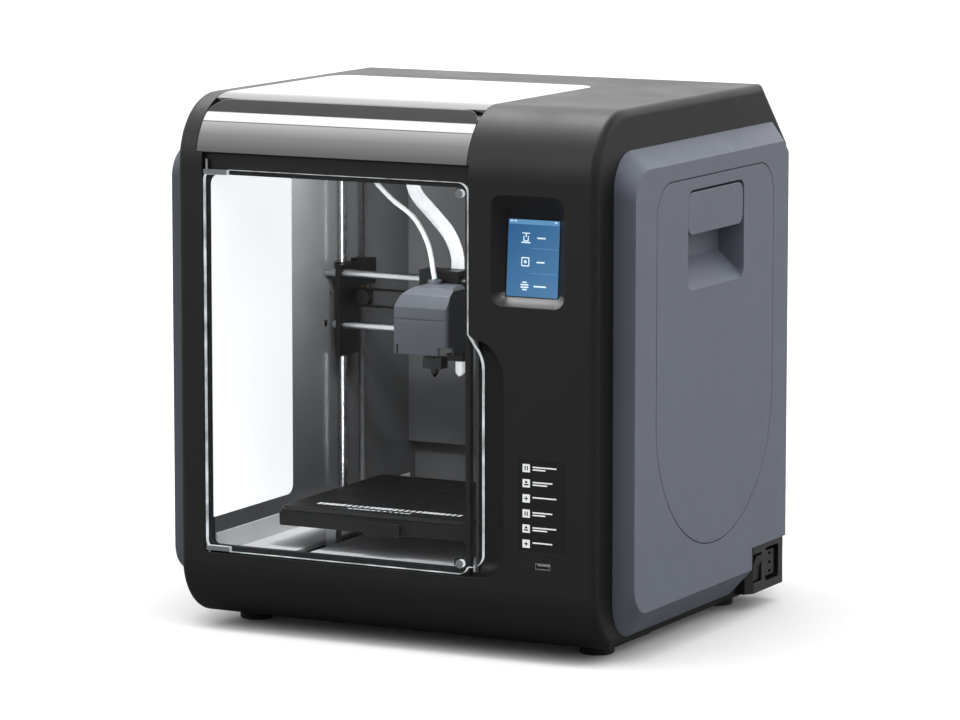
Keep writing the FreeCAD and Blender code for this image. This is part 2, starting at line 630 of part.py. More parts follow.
def rear_cover():
    """The black rear panel with air slots and a round fan grille."""
    outer = REAR - 0.2
    cover = rounded("xz", -159.5, 159.5, 60.5, 344.5, REAR - WALL, outer, 9.5)
    cuts = []
    for row in range(9):
        z = 90.0 + row * 8.0
        cuts.append(box(80.0, 140.0, REAR - 5.0, REAR + 1.0, z, z + 3.5))
    for ring in range(1, 4):
        rim = cyl_y(ring * 9.0 + 2.0, REAR - 5.0, REAR + 1.0, MID_X, FAN_Z)
        core = cyl_y(ring * 9.0 - 2.5, REAR - 6.0, REAR + 2.0, MID_X, FAN_Z)
        cuts.append(rim.cut(core))
    for x, z in rear_screw_places():
        cuts.append(cyl_y(3.2, outer - 1.8, REAR + 1.0, x, z))
        cuts.append(cyl_y(1.6, REAR - 5.0, REAR + 1.0, x, z))
    spokes = [box(MID_X - 32.0, MID_X + 32.0, REAR - WALL, outer, FAN_Z - 1.5, FAN_Z + 1.5),
              box(MID_X - 1.5, MID_X + 1.5, REAR - WALL, outer, FAN_Z - 32.0, FAN_Z + 32.0)]
    return fuse([cut(cover, cuts)] + spokes)


def front_fascia():
    return lid_zone(FRONT - 60.0, LID_SEAM_Y - 0.4, 0.0, 0.0)


def top_lid():
    return lid_zone(LID_SEAM_Y, LID_REAR, 0.0, 0.0)


def screen_plane(shape):
    """Lean a shape drawn upright at the front so that it lies in the screen's tilted plane."""
    moved = shape.copy()
    moved.rotate(Vector(0, SCREEN_LOW_Y, SCREEN[2]), Vector(1, 0, 0), -SCREEN_TILT)
    return moved


def touch_screen():
    return screen_plane(box(SCREEN[0], SCREEN[1], SCREEN_LOW_Y + 0.2, SCREEN_LOW_Y + SCREEN_THICK,
                            SCREEN[2], SCREEN[3]))


def icon_label():
    return box(LABEL[0], LABEL[1], FRONT, FRONT + LABEL_THICK, LABEL[2], LABEL[3])


def usb_port():
    """A type A socket: metal sleeve around a contact tongue."""
    z0 = USB[2] + 0.1
    z1 = USB[3] - 0.1
    sleeve = box(USB[0], USB[1], FRONT + 0.2, FRONT + 14.0, z0, z1)
    hollow = box(USB[0] + 0.4, USB[1] - 0.4, FRONT - 1.0, FRONT + 12.0, z0 + 0.4, z1 - 0.4)
    tongue = box(USB[0] + 0.9, USB[1] - 0.9, FRONT + 1.5, FRONT + 12.5, z0 + 2.3, z1 - 0.6)
    return fuse([sleeve.cut(hollow), tongue])


def inlet_parts():
    """Front, rear, low and high limits of the rocker and socket openings in the power module."""
    rocker = (INLET[0] + 7.0, INLET[0] + 22.0, INLET[2] + 8.0, INLET[3] - 7.0)
    socket = (INLET[0] + 29.0, INLET[1] - 8.0, INLET[2] + 6.0, INLET[3] - 5.0)
    return rocker, socket


def power_inlet():
    rocker, socket = inlet_parts()
    body = box(BODY_X - 24.0, INLET_OUT, INLET[0], INLET[1], INLET[2], INLET[3])
    lean = prism([Vector(INLET_OUT + 1, INLET[0] - 1, INLET[2] - 1),
                  Vector(INLET_OUT + 1, INLET[0] + 9, INLET[2] - 1),
                  Vector(INLET_OUT - 5, INLET[0] - 1, INLET[2] - 1)], Vector(0, 0, 60))
    mouth = rounded("yz", socket[0], socket[1], socket[2], socket[3],
                    INLET_OUT - 17.0, INLET_OUT + 1.0, 3.0)
    well = box(INLET_OUT - 15.0, INLET_OUT + 1.0, rocker[0], rocker[1], rocker[2], rocker[3])
    island = rounded("yz", socket[0] + 4.5, socket[1] - 4.5, socket[2] + 3.5, socket[3] - 3.5,
                     INLET_OUT - 17.5, INLET_OUT - 2.0, 1.5)
    body = cut(body, [lean, mouth, well])
    body = fuse([body, island])
    mid_y = (socket[0] + socket[1]) / 2.0
    mid_z = (socket[2] + socket[3]) / 2.0
    slots = [box(INLET_OUT - 16.0, INLET_OUT, mid_y - 2.2, mid_y + 2.2, z - 1.1, z + 1.1)
             for z in (mid_z - 7.0, mid_z, mid_z + 7.0)]
    axle_z = (rocker[2] + rocker[3]) / 2.0
    axle = cyl_y(1.25, rocker[0] - 2.0, rocker[1] + 2.0, INLET_OUT - 6.0, axle_z)
    return cut(body, slots + [axle])


def inlet_pins():
    socket = inlet_parts()[1]
    mid_y = (socket[0] + socket[1]) / 2.0
    mid_z = (socket[2] + socket[3]) / 2.0
    return group([box(INLET_OUT - 15.9, INLET_OUT - 4.0, mid_y - 2.0, mid_y + 2.0, z - 1.0, z + 1.0)
                  for z in (mid_z - 7.0, mid_z, mid_z + 7.0)])


def rocker_switch():
    rocker = inlet_parts()[0]
    x = INLET_OUT - 6.0
    mid_z = (rocker[2] + rocker[3]) / 2.0
    half = (rocker[3] - rocker[2]) / 2.0 - 1.2
    y0 = rocker[0] + 0.6
    y1 = rocker[1] - 0.6
    paddle = prism([Vector(x - 2.0, y0, mid_z - half + 2.0), Vector(x + 4.0, y0, mid_z - half),
                    Vector(x + 4.6, y0, mid_z), Vector(x + 8.0, y0, mid_z + half),
                    Vector(x - 1.0, y0, mid_z + half - 2.0)], Vector(0, y1 - y0, 0))
    axle = cyl_y(1.2, rocker[0] - 1.9, rocker[1] + 1.9, x, mid_z)
    return fuse([paddle, axle])


def stepper(size, length):
    """A square stepper motor; the shaft leaves the top face, along +Z."""
    half = size / 2.0
    body = box(-half, half, -half, half, 0.0, length)
    corners = [e for e in body.Edges if abs(e.tangentAt(0).z) > 0.9]
    body = body.makeChamfer(3.0, corners)
    return fuse([body, cyl_z(size * 0.26, length - 1.0, length + 1.5, 0.0, 0.0)])


def along(shape, axis, x, y, z):
    """Turn a shape drawn along +Z to another direction and put its foot at a point."""
    turned = shape.copy()
    if axis == "+x":
        turned.rotate(Vector(0, 0, 0), Vector(0, 1, 0), 90.0)
    elif axis == "-x":
        turned.rotate(Vector(0, 0, 0), Vector(0, 1, 0), -90.0)
    elif axis == "-y":
        turned.rotate(Vector(0, 0, 0), Vector(1, 0, 0), 90.0)
    return turned.translated(Vector(x, y, z))


def stepper_motors():
    """Two lead-screw motors, the bed motor and the feeder motor, all of one size."""
    motors = []
    for sign in (-1, 1):
        motors.append(along(stepper(35.0, 26.0), "+z", MID_X + sign * GUIDE_X, SCREW_Y, 14.0))
    motors.append(along(stepper(35.0, 26.0), "-x", -8.0, Y_PULLEY_Y, Y_BELT_Z))
    motors.append(along(stepper(35.0, 26.0), "+x", FEED_MOTOR_X, FEED_Y, FEED_Z))
    return group(motors)


def z_rods():
    return group([cyl_z(GUIDE_R, 46.0, GUIDE_TOP, MID_X + sign * GUIDE_X, GUIDE_Y) for sign in (-1, 1)])


def lead_screw(sign):
    """A screw with its coupling collar, which sits on the motor's shaft below the floor."""
    x = MID_X + sign * GUIDE_X
    screw = cyl_z(SCREW_R, 42.0, GUIDE_TOP - 1.0, x, SCREW_Y)
    collar = cyl_z(6.0, 42.0, 52.0, x, SCREW_Y)
    return fuse([screw, collar])


def y_rods():
    return group([cyl_y(Y_ROD_R, -152.0, 150.0, x, Y_ROD_Z) for x in (Y_ROD_LEFT, Y_ROD_RIGHT)])


def belt_loop(r, span):
    """A flat belt around two equal wheels, drawn around the Y axis from x=0 to x=span."""
    def loop(radius, y0, y1):
        ends = [cyl_y(radius, y0, y1, x, 0.0) for x in (0.0, span)]
        return fuse([box(0.0, span, y0, y1, -radius, radius)] + ends)
    return loop(r + BELT_THICK, 0.0, 6.0).cut(loop(r, -1.0, 7.0))


def pulley():
    """A flanged belt wheel along +Y, drawn at the origin."""
    wheel = cyl_y(BELT_R - 0.1, 0.2, 5.8, 0.0, 0.0)
    bore = cyl_y(1.5 + RUN_GAP, -1.0, 8.0, 0.0, 0.0)
    return wheel.cut(bore)


def x_belt():
    belt = belt_loop(BELT_R, X_MOTOR_X - X_IDLER_X)
    return belt.translated(Vector(X_IDLER_X, X_BELT_Y[0], X_BELT_Z))


def x_pulley():
    return pulley().translated(Vector(X_MOTOR_X, X_BELT_Y[0], X_BELT_Z))


def x_idler():
    return pulley().translated(Vector(X_IDLER_X, X_BELT_Y[0], X_BELT_Z))


def to_y_run(shape):
    """Turn belt parts drawn along X so that they run along Y, in the plane of the bed's belt."""
    turned = shape.copy()
    turned.rotate(Vector(0, 0, 0), Vector(0, 0, 1), 90.0)
    return turned.translated(Vector(Y_BELT_X[1], 0, Y_BELT_Z))


def y_belt():
    return to_y_run(belt_loop(BELT_R, Y_PULLEY_Y - Y_IDLER_Y)).translated(Vector(0, Y_IDLER_Y, 0))


def y_pulley():
    return to_y_run(pulley()).translated(Vector(0, Y_PULLEY_Y, 0))


def y_idler():
    return to_y_run(pulley()).translated(Vector(0, Y_IDLER_Y, 0))


def gantry_block():
    """Left-hand gantry block: plate, sleeve on the guide and arm around the lead screw's nut."""
    guide_x = MID_X - GUIDE_X
    inner = MID_X - PLATE_IN
    outer = inner - PLATE_THICK
    plate = box(outer, inner, 6.0, 66.0, BLOCK_LOW, BLOCK_HIGH)
    sleeve = cyl_z(6.5, BLOCK_LOW, BLOCK_HIGH, guide_x, GUIDE_Y)
    web = box(guide_x - 4.0, outer + 1.0, GUIDE_Y - 6.0, SCREW_Y + 8.0, BLOCK_LOW + 4.0, BLOCK_HIGH - 16.0)
    arm = box(guide_x - 6.0, outer + 1.0, SCREW_Y - 7.0, SCREW_Y + 7.0, NUT_ARM_Z, BLOCK_HIGH)
    block = fuse([plate, sleeve, web, arm])
    relief = box(guide_x - 10.0, inner + 1.0, GUIDE_Y + 10.0, SCREW_Y + 12.0, BLOCK_LOW - 1.0, NUT_ARM_Z)
    return block.cut(relief)


def block_holes(sign):
    x = MID_X + sign * GUIDE_X
    return [cyl_z(GUIDE_R + RUN_GAP, BLOCK_LOW - 1.0, BLOCK_HIGH + 1.0, x, GUIDE_Y),
            cyl_z(SCREW_R + 0.6, BLOCK_LOW - 1.0, BLOCK_HIGH + 1.0, x, SCREW_Y),
            cyl_z(5.1, 234.0, 246.5, x, SCREW_Y)]


def gantry_blocks():
    left = gantry_block()
    right = mirrored(gantry_block())
    idler_arm = box(MID_X - PLATE_IN - 1.0, X_IDLER_X + 5.0, X_BELT_Y[1] + 0.6, X_BELT_Y[1] + 3.6,
                    X_BELT_Z - 6.0, X_BELT_Z + 6.0)
    idler_pin = cyl_y(1.5, X_BELT_Y[0], X_BELT_Y[1] + 2.0, X_IDLER_X, X_BELT_Z)
    mount = box(X_MOTOR_X - 17.5, MID_X + PLATE_IN + 1.0, X_BELT_Y[1] + 0.6, X_BELT_Y[1] + 3.6,
                X_BELT_Z - 17.5, X_BELT_Z + 17.5)
    shaft_hole = cyl_y(9.4, X_BELT_Y[1], X_BELT_Y[1] + 5.0, X_MOTOR_X, X_BELT_Z)
    left = fuse([left, idler_arm, idler_pin])
    right = fuse([right, mount]).cut(shaft_hole)
    rod_holes = [cyl_x(X_ROD_R, -160.0, 80.0, X_ROD_Y, z) for z in (X_ROD_HIGH, X_ROD_LOW)]
    return group([cut(left, block_holes(-1) + rod_holes), cut(right, block_holes(1) + rod_holes)])


def x_rods():
    high = cyl_x(X_ROD_R - 0.02, CH_LEFT + 1.0, MID_X + PLATE_IN + 8.0, X_ROD_Y, X_ROD_HIGH)
    low = cyl_x(X_ROD_R - 0.02, MID_X - PLATE_IN - 8.0, MID_X + PLATE_IN + 8.0, X_ROD_Y, X_ROD_LOW)
    return group([high, low])


def z_nuts():
    """Flanged brass nuts that ride on the lead screws."""
    nuts = []
    for sign in (-1, 1):
        x = MID_X + sign * GUIDE_X
        nut = fuse([cyl_z(4.6, 226.0, 246.4, x, SCREW_Y), cyl_z(5.3, 236.5, 239.9, x, SCREW_Y)])
        nuts.append(nut.cut(cyl_z(SCREW_R + RUN_GAP, 220.0, 250.0, x, SCREW_Y)))
    return group(nuts)


def x_motor():
    motor = along(stepper(35.0, 26.0), "-y", X_MOTOR_X, X_BELT_Y[1] + 3.7 + 26.0, X_BELT_Z)
    shaft = cyl_y(1.5, X_BELT_Y[0], X_BELT_Y[1] + 8.0, X_MOTOR_X, X_BELT_Z)
    return fuse([motor, shaft])


def head_carriage():
    """The black block on the two rods, with belt clamp and quick-release socket."""
    body = box(HEAD_X - 17.0, HEAD_X + 17.0, HEAD_REAR + 0.3, 23.0, HEAD_LOW + 2.0, 261.0)
    tongue = box(HEAD_X - 8.0, HEAD_X + 8.0, 22.0, 31.5, X_BELT_Z - BELT_R - BELT_THICK - 5.0,
                 X_BELT_Z - BELT_R - BELT_THICK - 0.1)
    riser = box(HEAD_X + 13.0, HEAD_X + 17.0, HEAD_REAR + 0.3, 12.0, TAB_ROOF, HEAD_LOW + 3.0)
    holder = box(HEAD_X + 13.0, HEAD_X + 27.5, -6.5, HEAD_REAR + 0.5, TAB_ROOF, HEAD_LOW - 0.3)
    rods = [cyl_x(X_ROD_R + RUN_GAP, HEAD_X - 30.0, HEAD_X + 30.0, X_ROD_Y, z)
            for z in (X_ROD_HIGH, X_ROD_LOW)]
    return cut(fuse([body, tongue, riser, holder]), rods)


def head_outline(x0, x1, inset):
    """The head's front outline: straight sides and two curved shoulders."""
    low = HEAD_LOW
    left = x0 + inset
    right = x1 - inset
    top = HEAD_TOP - inset
    r = 20.0

    def p(x, z):
        return Vector(x, HEAD_FRONT - 1.0, z)

    k = r * (1.0 - math.sqrt(0.5))
    edges = [
        Part.makeLine(p(left, low), p(left, top - r)),
        Part.Arc(p(left, top - r), p(left + k, top - k), p(left + r, top)).toShape(),
        Part.makeLine(p(left + r, top), p(right - 3.0, top)),
        Part.makeLine(p(right - 3.0, top), p(right, top - 3.0)),
        Part.makeLine(p(right, top - 3.0), p(right, low)),
        Part.makeLine(p(right, low), p(left, low)),
    ]
    return Part.Face(Part.Wire(edges)).extrude(Vector(0, HEAD_REAR - HEAD_FRONT + 1.0, 0))


def head_cover():
    """Grey hood open at the bottom and the back; its front leans back above the chamfer line."""
    solid = head_outline(HEAD_X - HEAD_HALF, HEAD_X + HEAD_HALF, 0.0)
    side = [Vector(-200, HEAD_FRONT, HEAD_LOW), Vector(-200, HEAD_FRONT, HEAD_BEVEL_Z),
            Vector(-200, HEAD_FRONT + 3.5, HEAD_BEVEL_Z + 9.7),
            Vector(-200, HEAD_FRONT + 11.0, HEAD_TOP - 1.5),
            Vector(-200, HEAD_FRONT + 20.0, HEAD_TOP),
            Vector(-200, HEAD_REAR, HEAD_TOP), Vector(-200, HEAD_REAR, HEAD_LOW)]
    solid = solid.common(prism(side, Vector(400, 0, 0)))
    right = HEAD_X + HEAD_HALF
    corner = [e for e in solid.Edges
              if e.BoundBox.XMin > right - 0.01 and e.BoundBox.YMax < HEAD_FRONT + 0.01]
    solid = solid.makeFillet(3.5, corner)
    notch = box(right - 8.5, right + 1.0, HEAD_FRONT - 1.0, HEAD_FRONT + 10.0,
                HEAD_LOW - 1.0, HEAD_LOW + 6.6)
    slot = box(HEAD_X - HEAD_HALF + 2.2, HEAD_X - HEAD_HALF + 3.6, HEAD_FRONT - 1.0, HEAD_FRONT + 3.0,
               HEAD_LOW - 1.0, HEAD_LOW + 7.5)
    hollow = box(HEAD_X - HEAD_HALF + 2.0, HEAD_X + HEAD_HALF - 2.0, HEAD_FRONT + 2.0, HEAD_REAR + 1.0,
                 HEAD_LOW - 1.0, HEAD_BEVEL_Z - 2.0)
    tube_hole = cyl_z(3.6, HEAD_BEVEL_Z - 5.0, HEAD_TOP + 2.0, HEAD_X, NOZZLE_Y - 3.0)
    collar = cyl_z(5.5, HEAD_TOP - 1.0, HEAD_TOP + 3.0, HEAD_X, NOZZLE_Y - 3.0)
    seam = box(HEAD_X - 30.0, HEAD_X + 30.0, HEAD_FRONT - 1.0, HEAD_FRONT + 0.5, HEAD_SEAM_Z,
               HEAD_SEAM_Z + 0.6)
    return cut(fuse([solid, collar]), [hollow, tube_hole, seam, notch, slot])


def fan(radius, hub, depth, blades):
    """A small axial rotor along +Y, drawn at the origin."""
    pieces = [cyl_y(hub, 0.0, depth, 0.0, 0.0)]
    for index in range(blades):
        blade = box(hub - 1.0, radius, depth * 0.15, depth * 0.4, -1.8, 1.8)
        blade.rotate(Vector(0, depth * 0.3, 0), Vector(1, 0, 0), 35.0)
        blade.rotate(Vector(0, 0, 0), Vector(0, 1, 0), 360.0 / blades * index)
        pieces.append(blade)
    return fuse(pieces)


def head_fan():
    return fan(14.0, 5.5, 6.0, 7).translated(Vector(HEAD_X, HEAD_FRONT + 4.0, 217.0))


def hot_end():
    """Finned cooler, throat and heater block as one cartridge."""
    x = HEAD_X
    y = NOZZLE_Y - 3.0
    fins = [cyl_z(5.5, z, z + 1.4, x, y) for z in (206.0, 209.0, 212.0, 215.0, 218.0, 221.0)]
    core = cyl_z(3.0, 198.0, 226.0, x, y)
    throat = cyl_z(1.8, 192.0, 199.0, x, y)
    block = box(x - 8.0, x + 8.0, y - 5.0, y + 6.0, 186.0, 195.0)
    return fuse([core, throat, block] + fins).cut(cyl_z(2.1, 221.5, 230.0, x, y))


def nozzle():
    x = HEAD_X
    y = NOZZLE_Y - 3.0
    hexagon = [Vector(x + 3.6 * math.cos(math.radians(a)), y + 3.6 * math.sin(math.radians(a)), 182.2)
               for a in range(0, 360, 60)]
    body = prism(hexagon, Vector(0, 0, 3.7))
    tip = Part.makeCone(0.6, 3.0, 182.3 - NOZZLE_TIP, Vector(x, y, NOZZLE_TIP), Vector(0, 0, 1))
    return fuse([body, tip])


def release_tab():
    """White push tab with a pointed end, below its black holder."""
    shoulder = TAB_TIP + 2.8
    outline = [(20.6, TAB_ROOF - 0.4), (26.2, TAB_ROOF - 0.4), (26.2, shoulder), (23.4, TAB_TIP),
               (20.6, shoulder)]
    return prism([Vector(HEAD_X + x, -6.0, z) for x, z in outline], Vector(0, 5.0, 0))


def tube(points, r):
    """A round tube along a smooth line through the points."""
    curve = Part.BSplineCurve()
    curve.interpolate([Vector(*p) for p in points])
    path = Part.Wire([curve.toShape()])
    start = Vector(*points[0])
    direction = curve.tangent(curve.FirstParameter)[0]
    profile = Part.Wire([Part.makeCircle(r, start, direction)])
    return path.makePipeShell([profile], True, True)


def band(points, half_width, half_thick):
    """A flat ribbon cable through the points; its width lies along X."""
    sections = []
    for x, y, z in points:
        corners = [Vector(x - half_width, y - half_thick, z), Vector(x + half_width, y - half_thick, z),
                   Vector(x + half_width, y + half_thick, z), Vector(x - half_width, y + half_thick, z)]
        sections.append(Part.makePolygon(corners + [corners[0]]))
    return Part.makeLoft(sections, True, False)


def feed_tube_upper():
    return tube([(-118.0, 26.0, 384.0), (-118.5, 25.0, 350.0), (-109.0, 22.0, 324.0)], 2.0)


def feed_tube_lower():
    return tube([(-108.2, 21.8, 322.6), (-93.0, 19.0, 312.0), (-72.9, 15.0, 300.0), (-56.0, 7.0, 281.0),
                 (HEAD_X, NOZZLE_Y - 3.0, 255.0)], 2.0)


def ribbon_upper():
    return band([(-92.0, 34.0, 388.0), (-90.0, 34.0, 345.0), (-84.0, 34.0, 326.0)], 5.5, 0.5)


def ribbon_lower():
    return band([(-82.0, 34.0, 324.0), (-74.0, 33.0, 312.0), (-61.0, 31.0, 298.0), (-46.0, 28.0, 280.0),
                 (-39.0, 26.0, 262.0)], 5.5, 0.5)


def fixed_tube():
    """The guide tube from the feeder, up the bay and across under the housing's top."""
    return tube([(FEED_PATH_X, FEED_Y, FEED_Z + 24.0), (FEED_PATH_X, 130.0, 220.0), (122.0, 108.0, 330.0),
                 (DIVIDER_X + 1.5, TUBE_CROSS_Y, TUBE_CROSS_Z), (0.0, 66.0, 392.0), (-80.0, 50.0, 393.0),
                 (-113.0, 30.0, 391.0)], 2.0)


def bed_carriage():
    """H-shaped slide below the floor, with three posts up through the floor's slots."""
    middle = BED_FRONT + BED_SIZE / 2.0
    arms = [box(x - 11.0, x + 11.0, middle - 55.0, middle + 55.0, Y_ROD_Z - 7.0, Y_ROD_Z + 11.0)
            for x in (Y_ROD_LEFT, Y_ROD_RIGHT)]
    web = box(Y_ROD_LEFT, Y_ROD_RIGHT, middle - 18.0, middle + 18.0, Y_ROD_Z + 7.0, Y_ROD_Z + 11.0)
    posts = [(Y_ROD_LEFT, middle - 45.0), (Y_ROD_LEFT, middle + 45.0), (Y_ROD_RIGHT, middle + 42.0)]
    columns = [box(x - 4.5, x + 4.5, y - 4.5, y + 4.5, Y_ROD_Z + 8.0, BED_LOW - 3.2) for x, y in posts]
    top = box(Y_ROD_LEFT - 9.0, Y_ROD_RIGHT + 9.0, middle - 52.0, middle + 52.0,
              BED_LOW - 4.2, BED_LOW - 0.1)
    clamp = box(Y_BELT_X[0], Y_BELT_X[1], middle - 8.0, middle + 8.0, Y_BELT_Z + BELT_R + BELT_THICK + 0.1,
                Y_ROD_Z + 8.0)
    rods = [cyl_y(Y_ROD_R + RUN_GAP, middle - 60.0, middle + 60.0, x, Y_ROD_Z)
            for x in (Y_ROD_LEFT, Y_ROD_RIGHT)]
    return cut(fuse(arms + [web, top, clamp] + columns), rods)


def bed_frame():
    """The black heated bed with a rounded outline and a grip on its front."""
    x0 = MID_X - BED_SIZE / 2.0
    frame = rounded("xy", x0, x0 + BED_SIZE, BED_FRONT, BED_FRONT + BED_SIZE, BED_LOW, BED_HIGH, 5.0)
    recess = box(x0 + 6.0, x0 + BED_SIZE - 6.0, BED_FRONT + 6.0, BED_FRONT + BED_SIZE - 6.0,
                 BED_LOW - 1.0, BED_LOW + 5.0)
    pads = [box(Y_ROD_LEFT - 9.0, Y_ROD_RIGHT + 9.0, y - 3.0, y + 3.0, BED_LOW, BED_LOW + 6.0)
            for y in (BED_FRONT + 35.0, BED_FRONT + BED_SIZE - 35.0)]
    grip = rounded("xz", MID_X - 6.0, MID_X + 25.0, BED_LOW - 1.5, BED_HIGH - 2.0,
                   BED_FRONT - 3.5, BED_FRONT + 1.0, 2.5)
    return fuse([frame.cut(recess), grip] + pads)


def build_plate():
    x0 = MID_X - BED_SIZE / 2.0 + 0.6
    x1 = MID_X + BED_SIZE / 2.0 - 0.6
    plate = rounded("xy", x0, x1, BED_FRONT + 0.6, BED_FRONT + BED_SIZE - 0.6,
                    BED_HIGH + 0.1, PLATE_HIGH, 6.0)
    top = [e for e in plate.Edges if e.BoundBox.ZMin > PLATE_HIGH - 0.01]
    return plate.makeChamfer(2.6, top)


def door_pane():
    """Clear sheet with its finger tab; the two left corners are cut away for the hinge leaves."""
    pane = rounded("xz", DOOR_LEFT, DOOR_RIGHT, DOOR_LOW + 0.3, DOOR_HIGH, FRONT + 0.1, FRONT + DOOR_THICK,
                   DOOR_CORNER)
    y = FRONT + 0.1

    def p(x, z):
        return Vector(x, y, z)

    tab_low = DOOR_LOW + 6.0
    edges = [
        Part.makeLine(p(DOOR_RIGHT - 1.0, tab_low), p(TAB_RIGHT - 10.0, tab_low)),
        Part.Arc(p(TAB_RIGHT - 10.0, tab_low), p(TAB_RIGHT - 2.93, tab_low + 2.93),
                 p(TAB_RIGHT, tab_low + 10.0)).toShape(),
        Part.makeLine(p(TAB_RIGHT, tab_low + 10.0), p(TAB_RIGHT, TAB_FULL - 10.0)),
        Part.Arc(p(TAB_RIGHT, TAB_FULL - 10.0), p(TAB_RIGHT - 1.6, TAB_FULL - 2.0),
                 p(TAB_RIGHT - 6.0, TAB_FULL + 5.0)).toShape(),
        Part.makeLine(p(TAB_RIGHT - 6.0, TAB_FULL + 5.0), p(DOOR_RIGHT - 1.0, TAB_TOP)),
        Part.makeLine(p(DOOR_RIGHT - 1.0, TAB_TOP), p(DOOR_RIGHT - 1.0, tab_low)),
    ]
    tab = Part.Face(Part.Wire(edges)).extrude(Vector(0, DOOR_THICK - 0.1, 0))
    pane = fuse([pane, tab])
    notches = [box(DOOR_LEFT - 5.0, DOOR_LEFT + 20.2, FRONT - 1.0, FRONT + 6.0, z0, z1)
               for z0, z1 in ((DOOR_LOW - 2.0, DOOR_LOW + 3.9), (DOOR_HIGH - 3.9, DOOR_HIGH + 2.0))]
    knobs = [cyl_y(3.05, FRONT - 1.0, FRONT + 6.0, DOOR_RIGHT - 6.5, z)
             for z in (DOOR_LOW + 8.0, DOOR_HIGH - 8.0)]
    return cut(pane, notches + knobs)


def door_fittings():
    """Hinge leaves on the left corners and round magnet studs on the right."""
    pieces = []
    for z0, z1 in ((DOOR_LOW + 0.4, DOOR_LOW + 3.7), (DOOR_HIGH - 3.7, DOOR_HIGH - 0.2)):
        leaf = box(DOOR_LEFT, DOOR_LEFT + 20.0, FRONT + 0.3, FRONT + DOOR_THICK - 0.2, z0, z1)
        pieces.append(leaf.cut(cyl_z(PIN_R + RUN_GAP, z0 - 1.0, z1 + 1.0, PIVOT_X, PIVOT_Y)))
    for z in (DOOR_LOW + 8.0, DOOR_HIGH - 8.0):
        stud = cyl_y(3.0, FRONT + 0.1, FRONT + DOOR_THICK - 0.1, DOOR_RIGHT - 6.5, z)
        pieces.append(stud)
    return group(pieces)


def hinge_pins():
    low = cyl_z(PIN_R, DOOR_LOW - 4.0, DOOR_LOW + 3.6, PIVOT_X, PIVOT_Y)
    high = cyl_z(PIN_R, DOOR_HIGH - 3.6, DOOR_HIGH + 7.5, PIVOT_X, PIVOT_Y)
    return group([low, high])


def spool_spindle():
    """Hollow hub that carries the filament spool, on a flange fixed to the bay's inner wall."""
    x0 = DIVIDER_X + WALL + 0.1
    flange = cyl_x(34.0, x0, x0 + 3.0, SPINDLE_Y, SPINDLE_Z)
    hub = cyl_x(SPINDLE_R, x0, x0 + 76.0, SPINDLE_Y, SPINDLE_Z)
    hollow = cyl_x(SPINDLE_R - 3.0, x0 + 3.0, x0 + 80.0, SPINDLE_Y, SPINDLE_Z)
    lip = cyl_x(SPINDLE_R + 2.0, x0 + 73.0, x0 + 76.0, SPINDLE_Y, SPINDLE_Z)
    lip = lip.common(box(x0, x0 + 80.0, -100.0, 100.0, SPINDLE_Z + SPINDLE_R - 8.0, 300.0))
    return fuse([flange, hub, lip]).cut(hollow)


def feeder_body():
    """The filament drive's housing in front of its motor."""
    x0 = FEED_X
    body = box(x0, x0 + 22.0, FEED_Y - 17.0, FEED_Y + 17.0, FEED_Z - 17.0, FEED_Z + 17.0)
    chamber = cyl_x(7.2, x0 + 3.0, x0 + 30.0, FEED_Y + 6.0, FEED_Z)
    arm_room = box(x0 + 3.0, x0 + 30.0, FEED_Y - 18.0, FEED_Y - 0.5, FEED_Z - 15.0, FEED_Z + 14.0)
    fitting = cyl_z(4.5, FEED_Z + 16.0, FEED_Z + 23.5, FEED_PATH_X, FEED_Y)
    path = cyl_z(1.1, FEED_Z - 20.0, FEED_Z + 30.0, FEED_PATH_X, FEED_Y)
    shaft = cyl_x(2.5 + RUN_GAP, x0 - 1.0, x0 + 25.0, FEED_Y + 6.0, FEED_Z)
    pivot = cyl_x(2.0, x0 + 1.0, x0 + 20.0, FEED_Y - 12.0, FEED_Z - 11.0)
    body = cut(fuse([body, fitting]), [chamber, arm_room, path, shaft])
    return fuse([body, pivot])


def feeder_gear():
    gear = cyl_x(6.0, FEED_X + 10.0, FEED_X + 20.0, FEED_Y + 6.0, FEED_Z)
    shaft = cyl_x(2.5, FEED_X + 0.1, FEED_X + 21.0, FEED_Y + 6.0, FEED_Z)
    return fuse([gear, shaft])


def feeder_arm():
    """Sprung lever that presses the filament on to the drive gear."""
    pivot_y = FEED_Y - 12.0
    pivot_z = FEED_Z - 11.0
    lever = box(FEED_X + 9.0, FEED_X + 19.0, pivot_y - 3.0, pivot_y + 3.0, pivot_z, FEED_Z + 10.0)
    boss = cyl_x(4.0, FEED_X + 9.0, FEED_X + 19.0, pivot_y, pivot_z)
    roller = cyl_x(4.5, FEED_X + 10.0, FEED_X + 18.0, FEED_Y - 6.6, FEED_Z)
    return fuse([lever, boss, roller]).cut(cyl_x(2.0 + RUN_GAP, FEED_X, FEED_X + 30.0, pivot_y, pivot_z))


def exhaust_fan():
    return fan(27.0, 9.0, 9.0, 7).translated(Vector(MID_X, 154.5, FAN_Z))


def power_supply():
    case = box(88.0, 168.0, -118.0, 32.0, 15.0, 49.0)
    slots = [box(92.0 + n * 9.0, 96.0 + n * 9.0, -100.0, 10.0, 47.0, 50.0) for n in range(8)]
    return cut(case, slots)


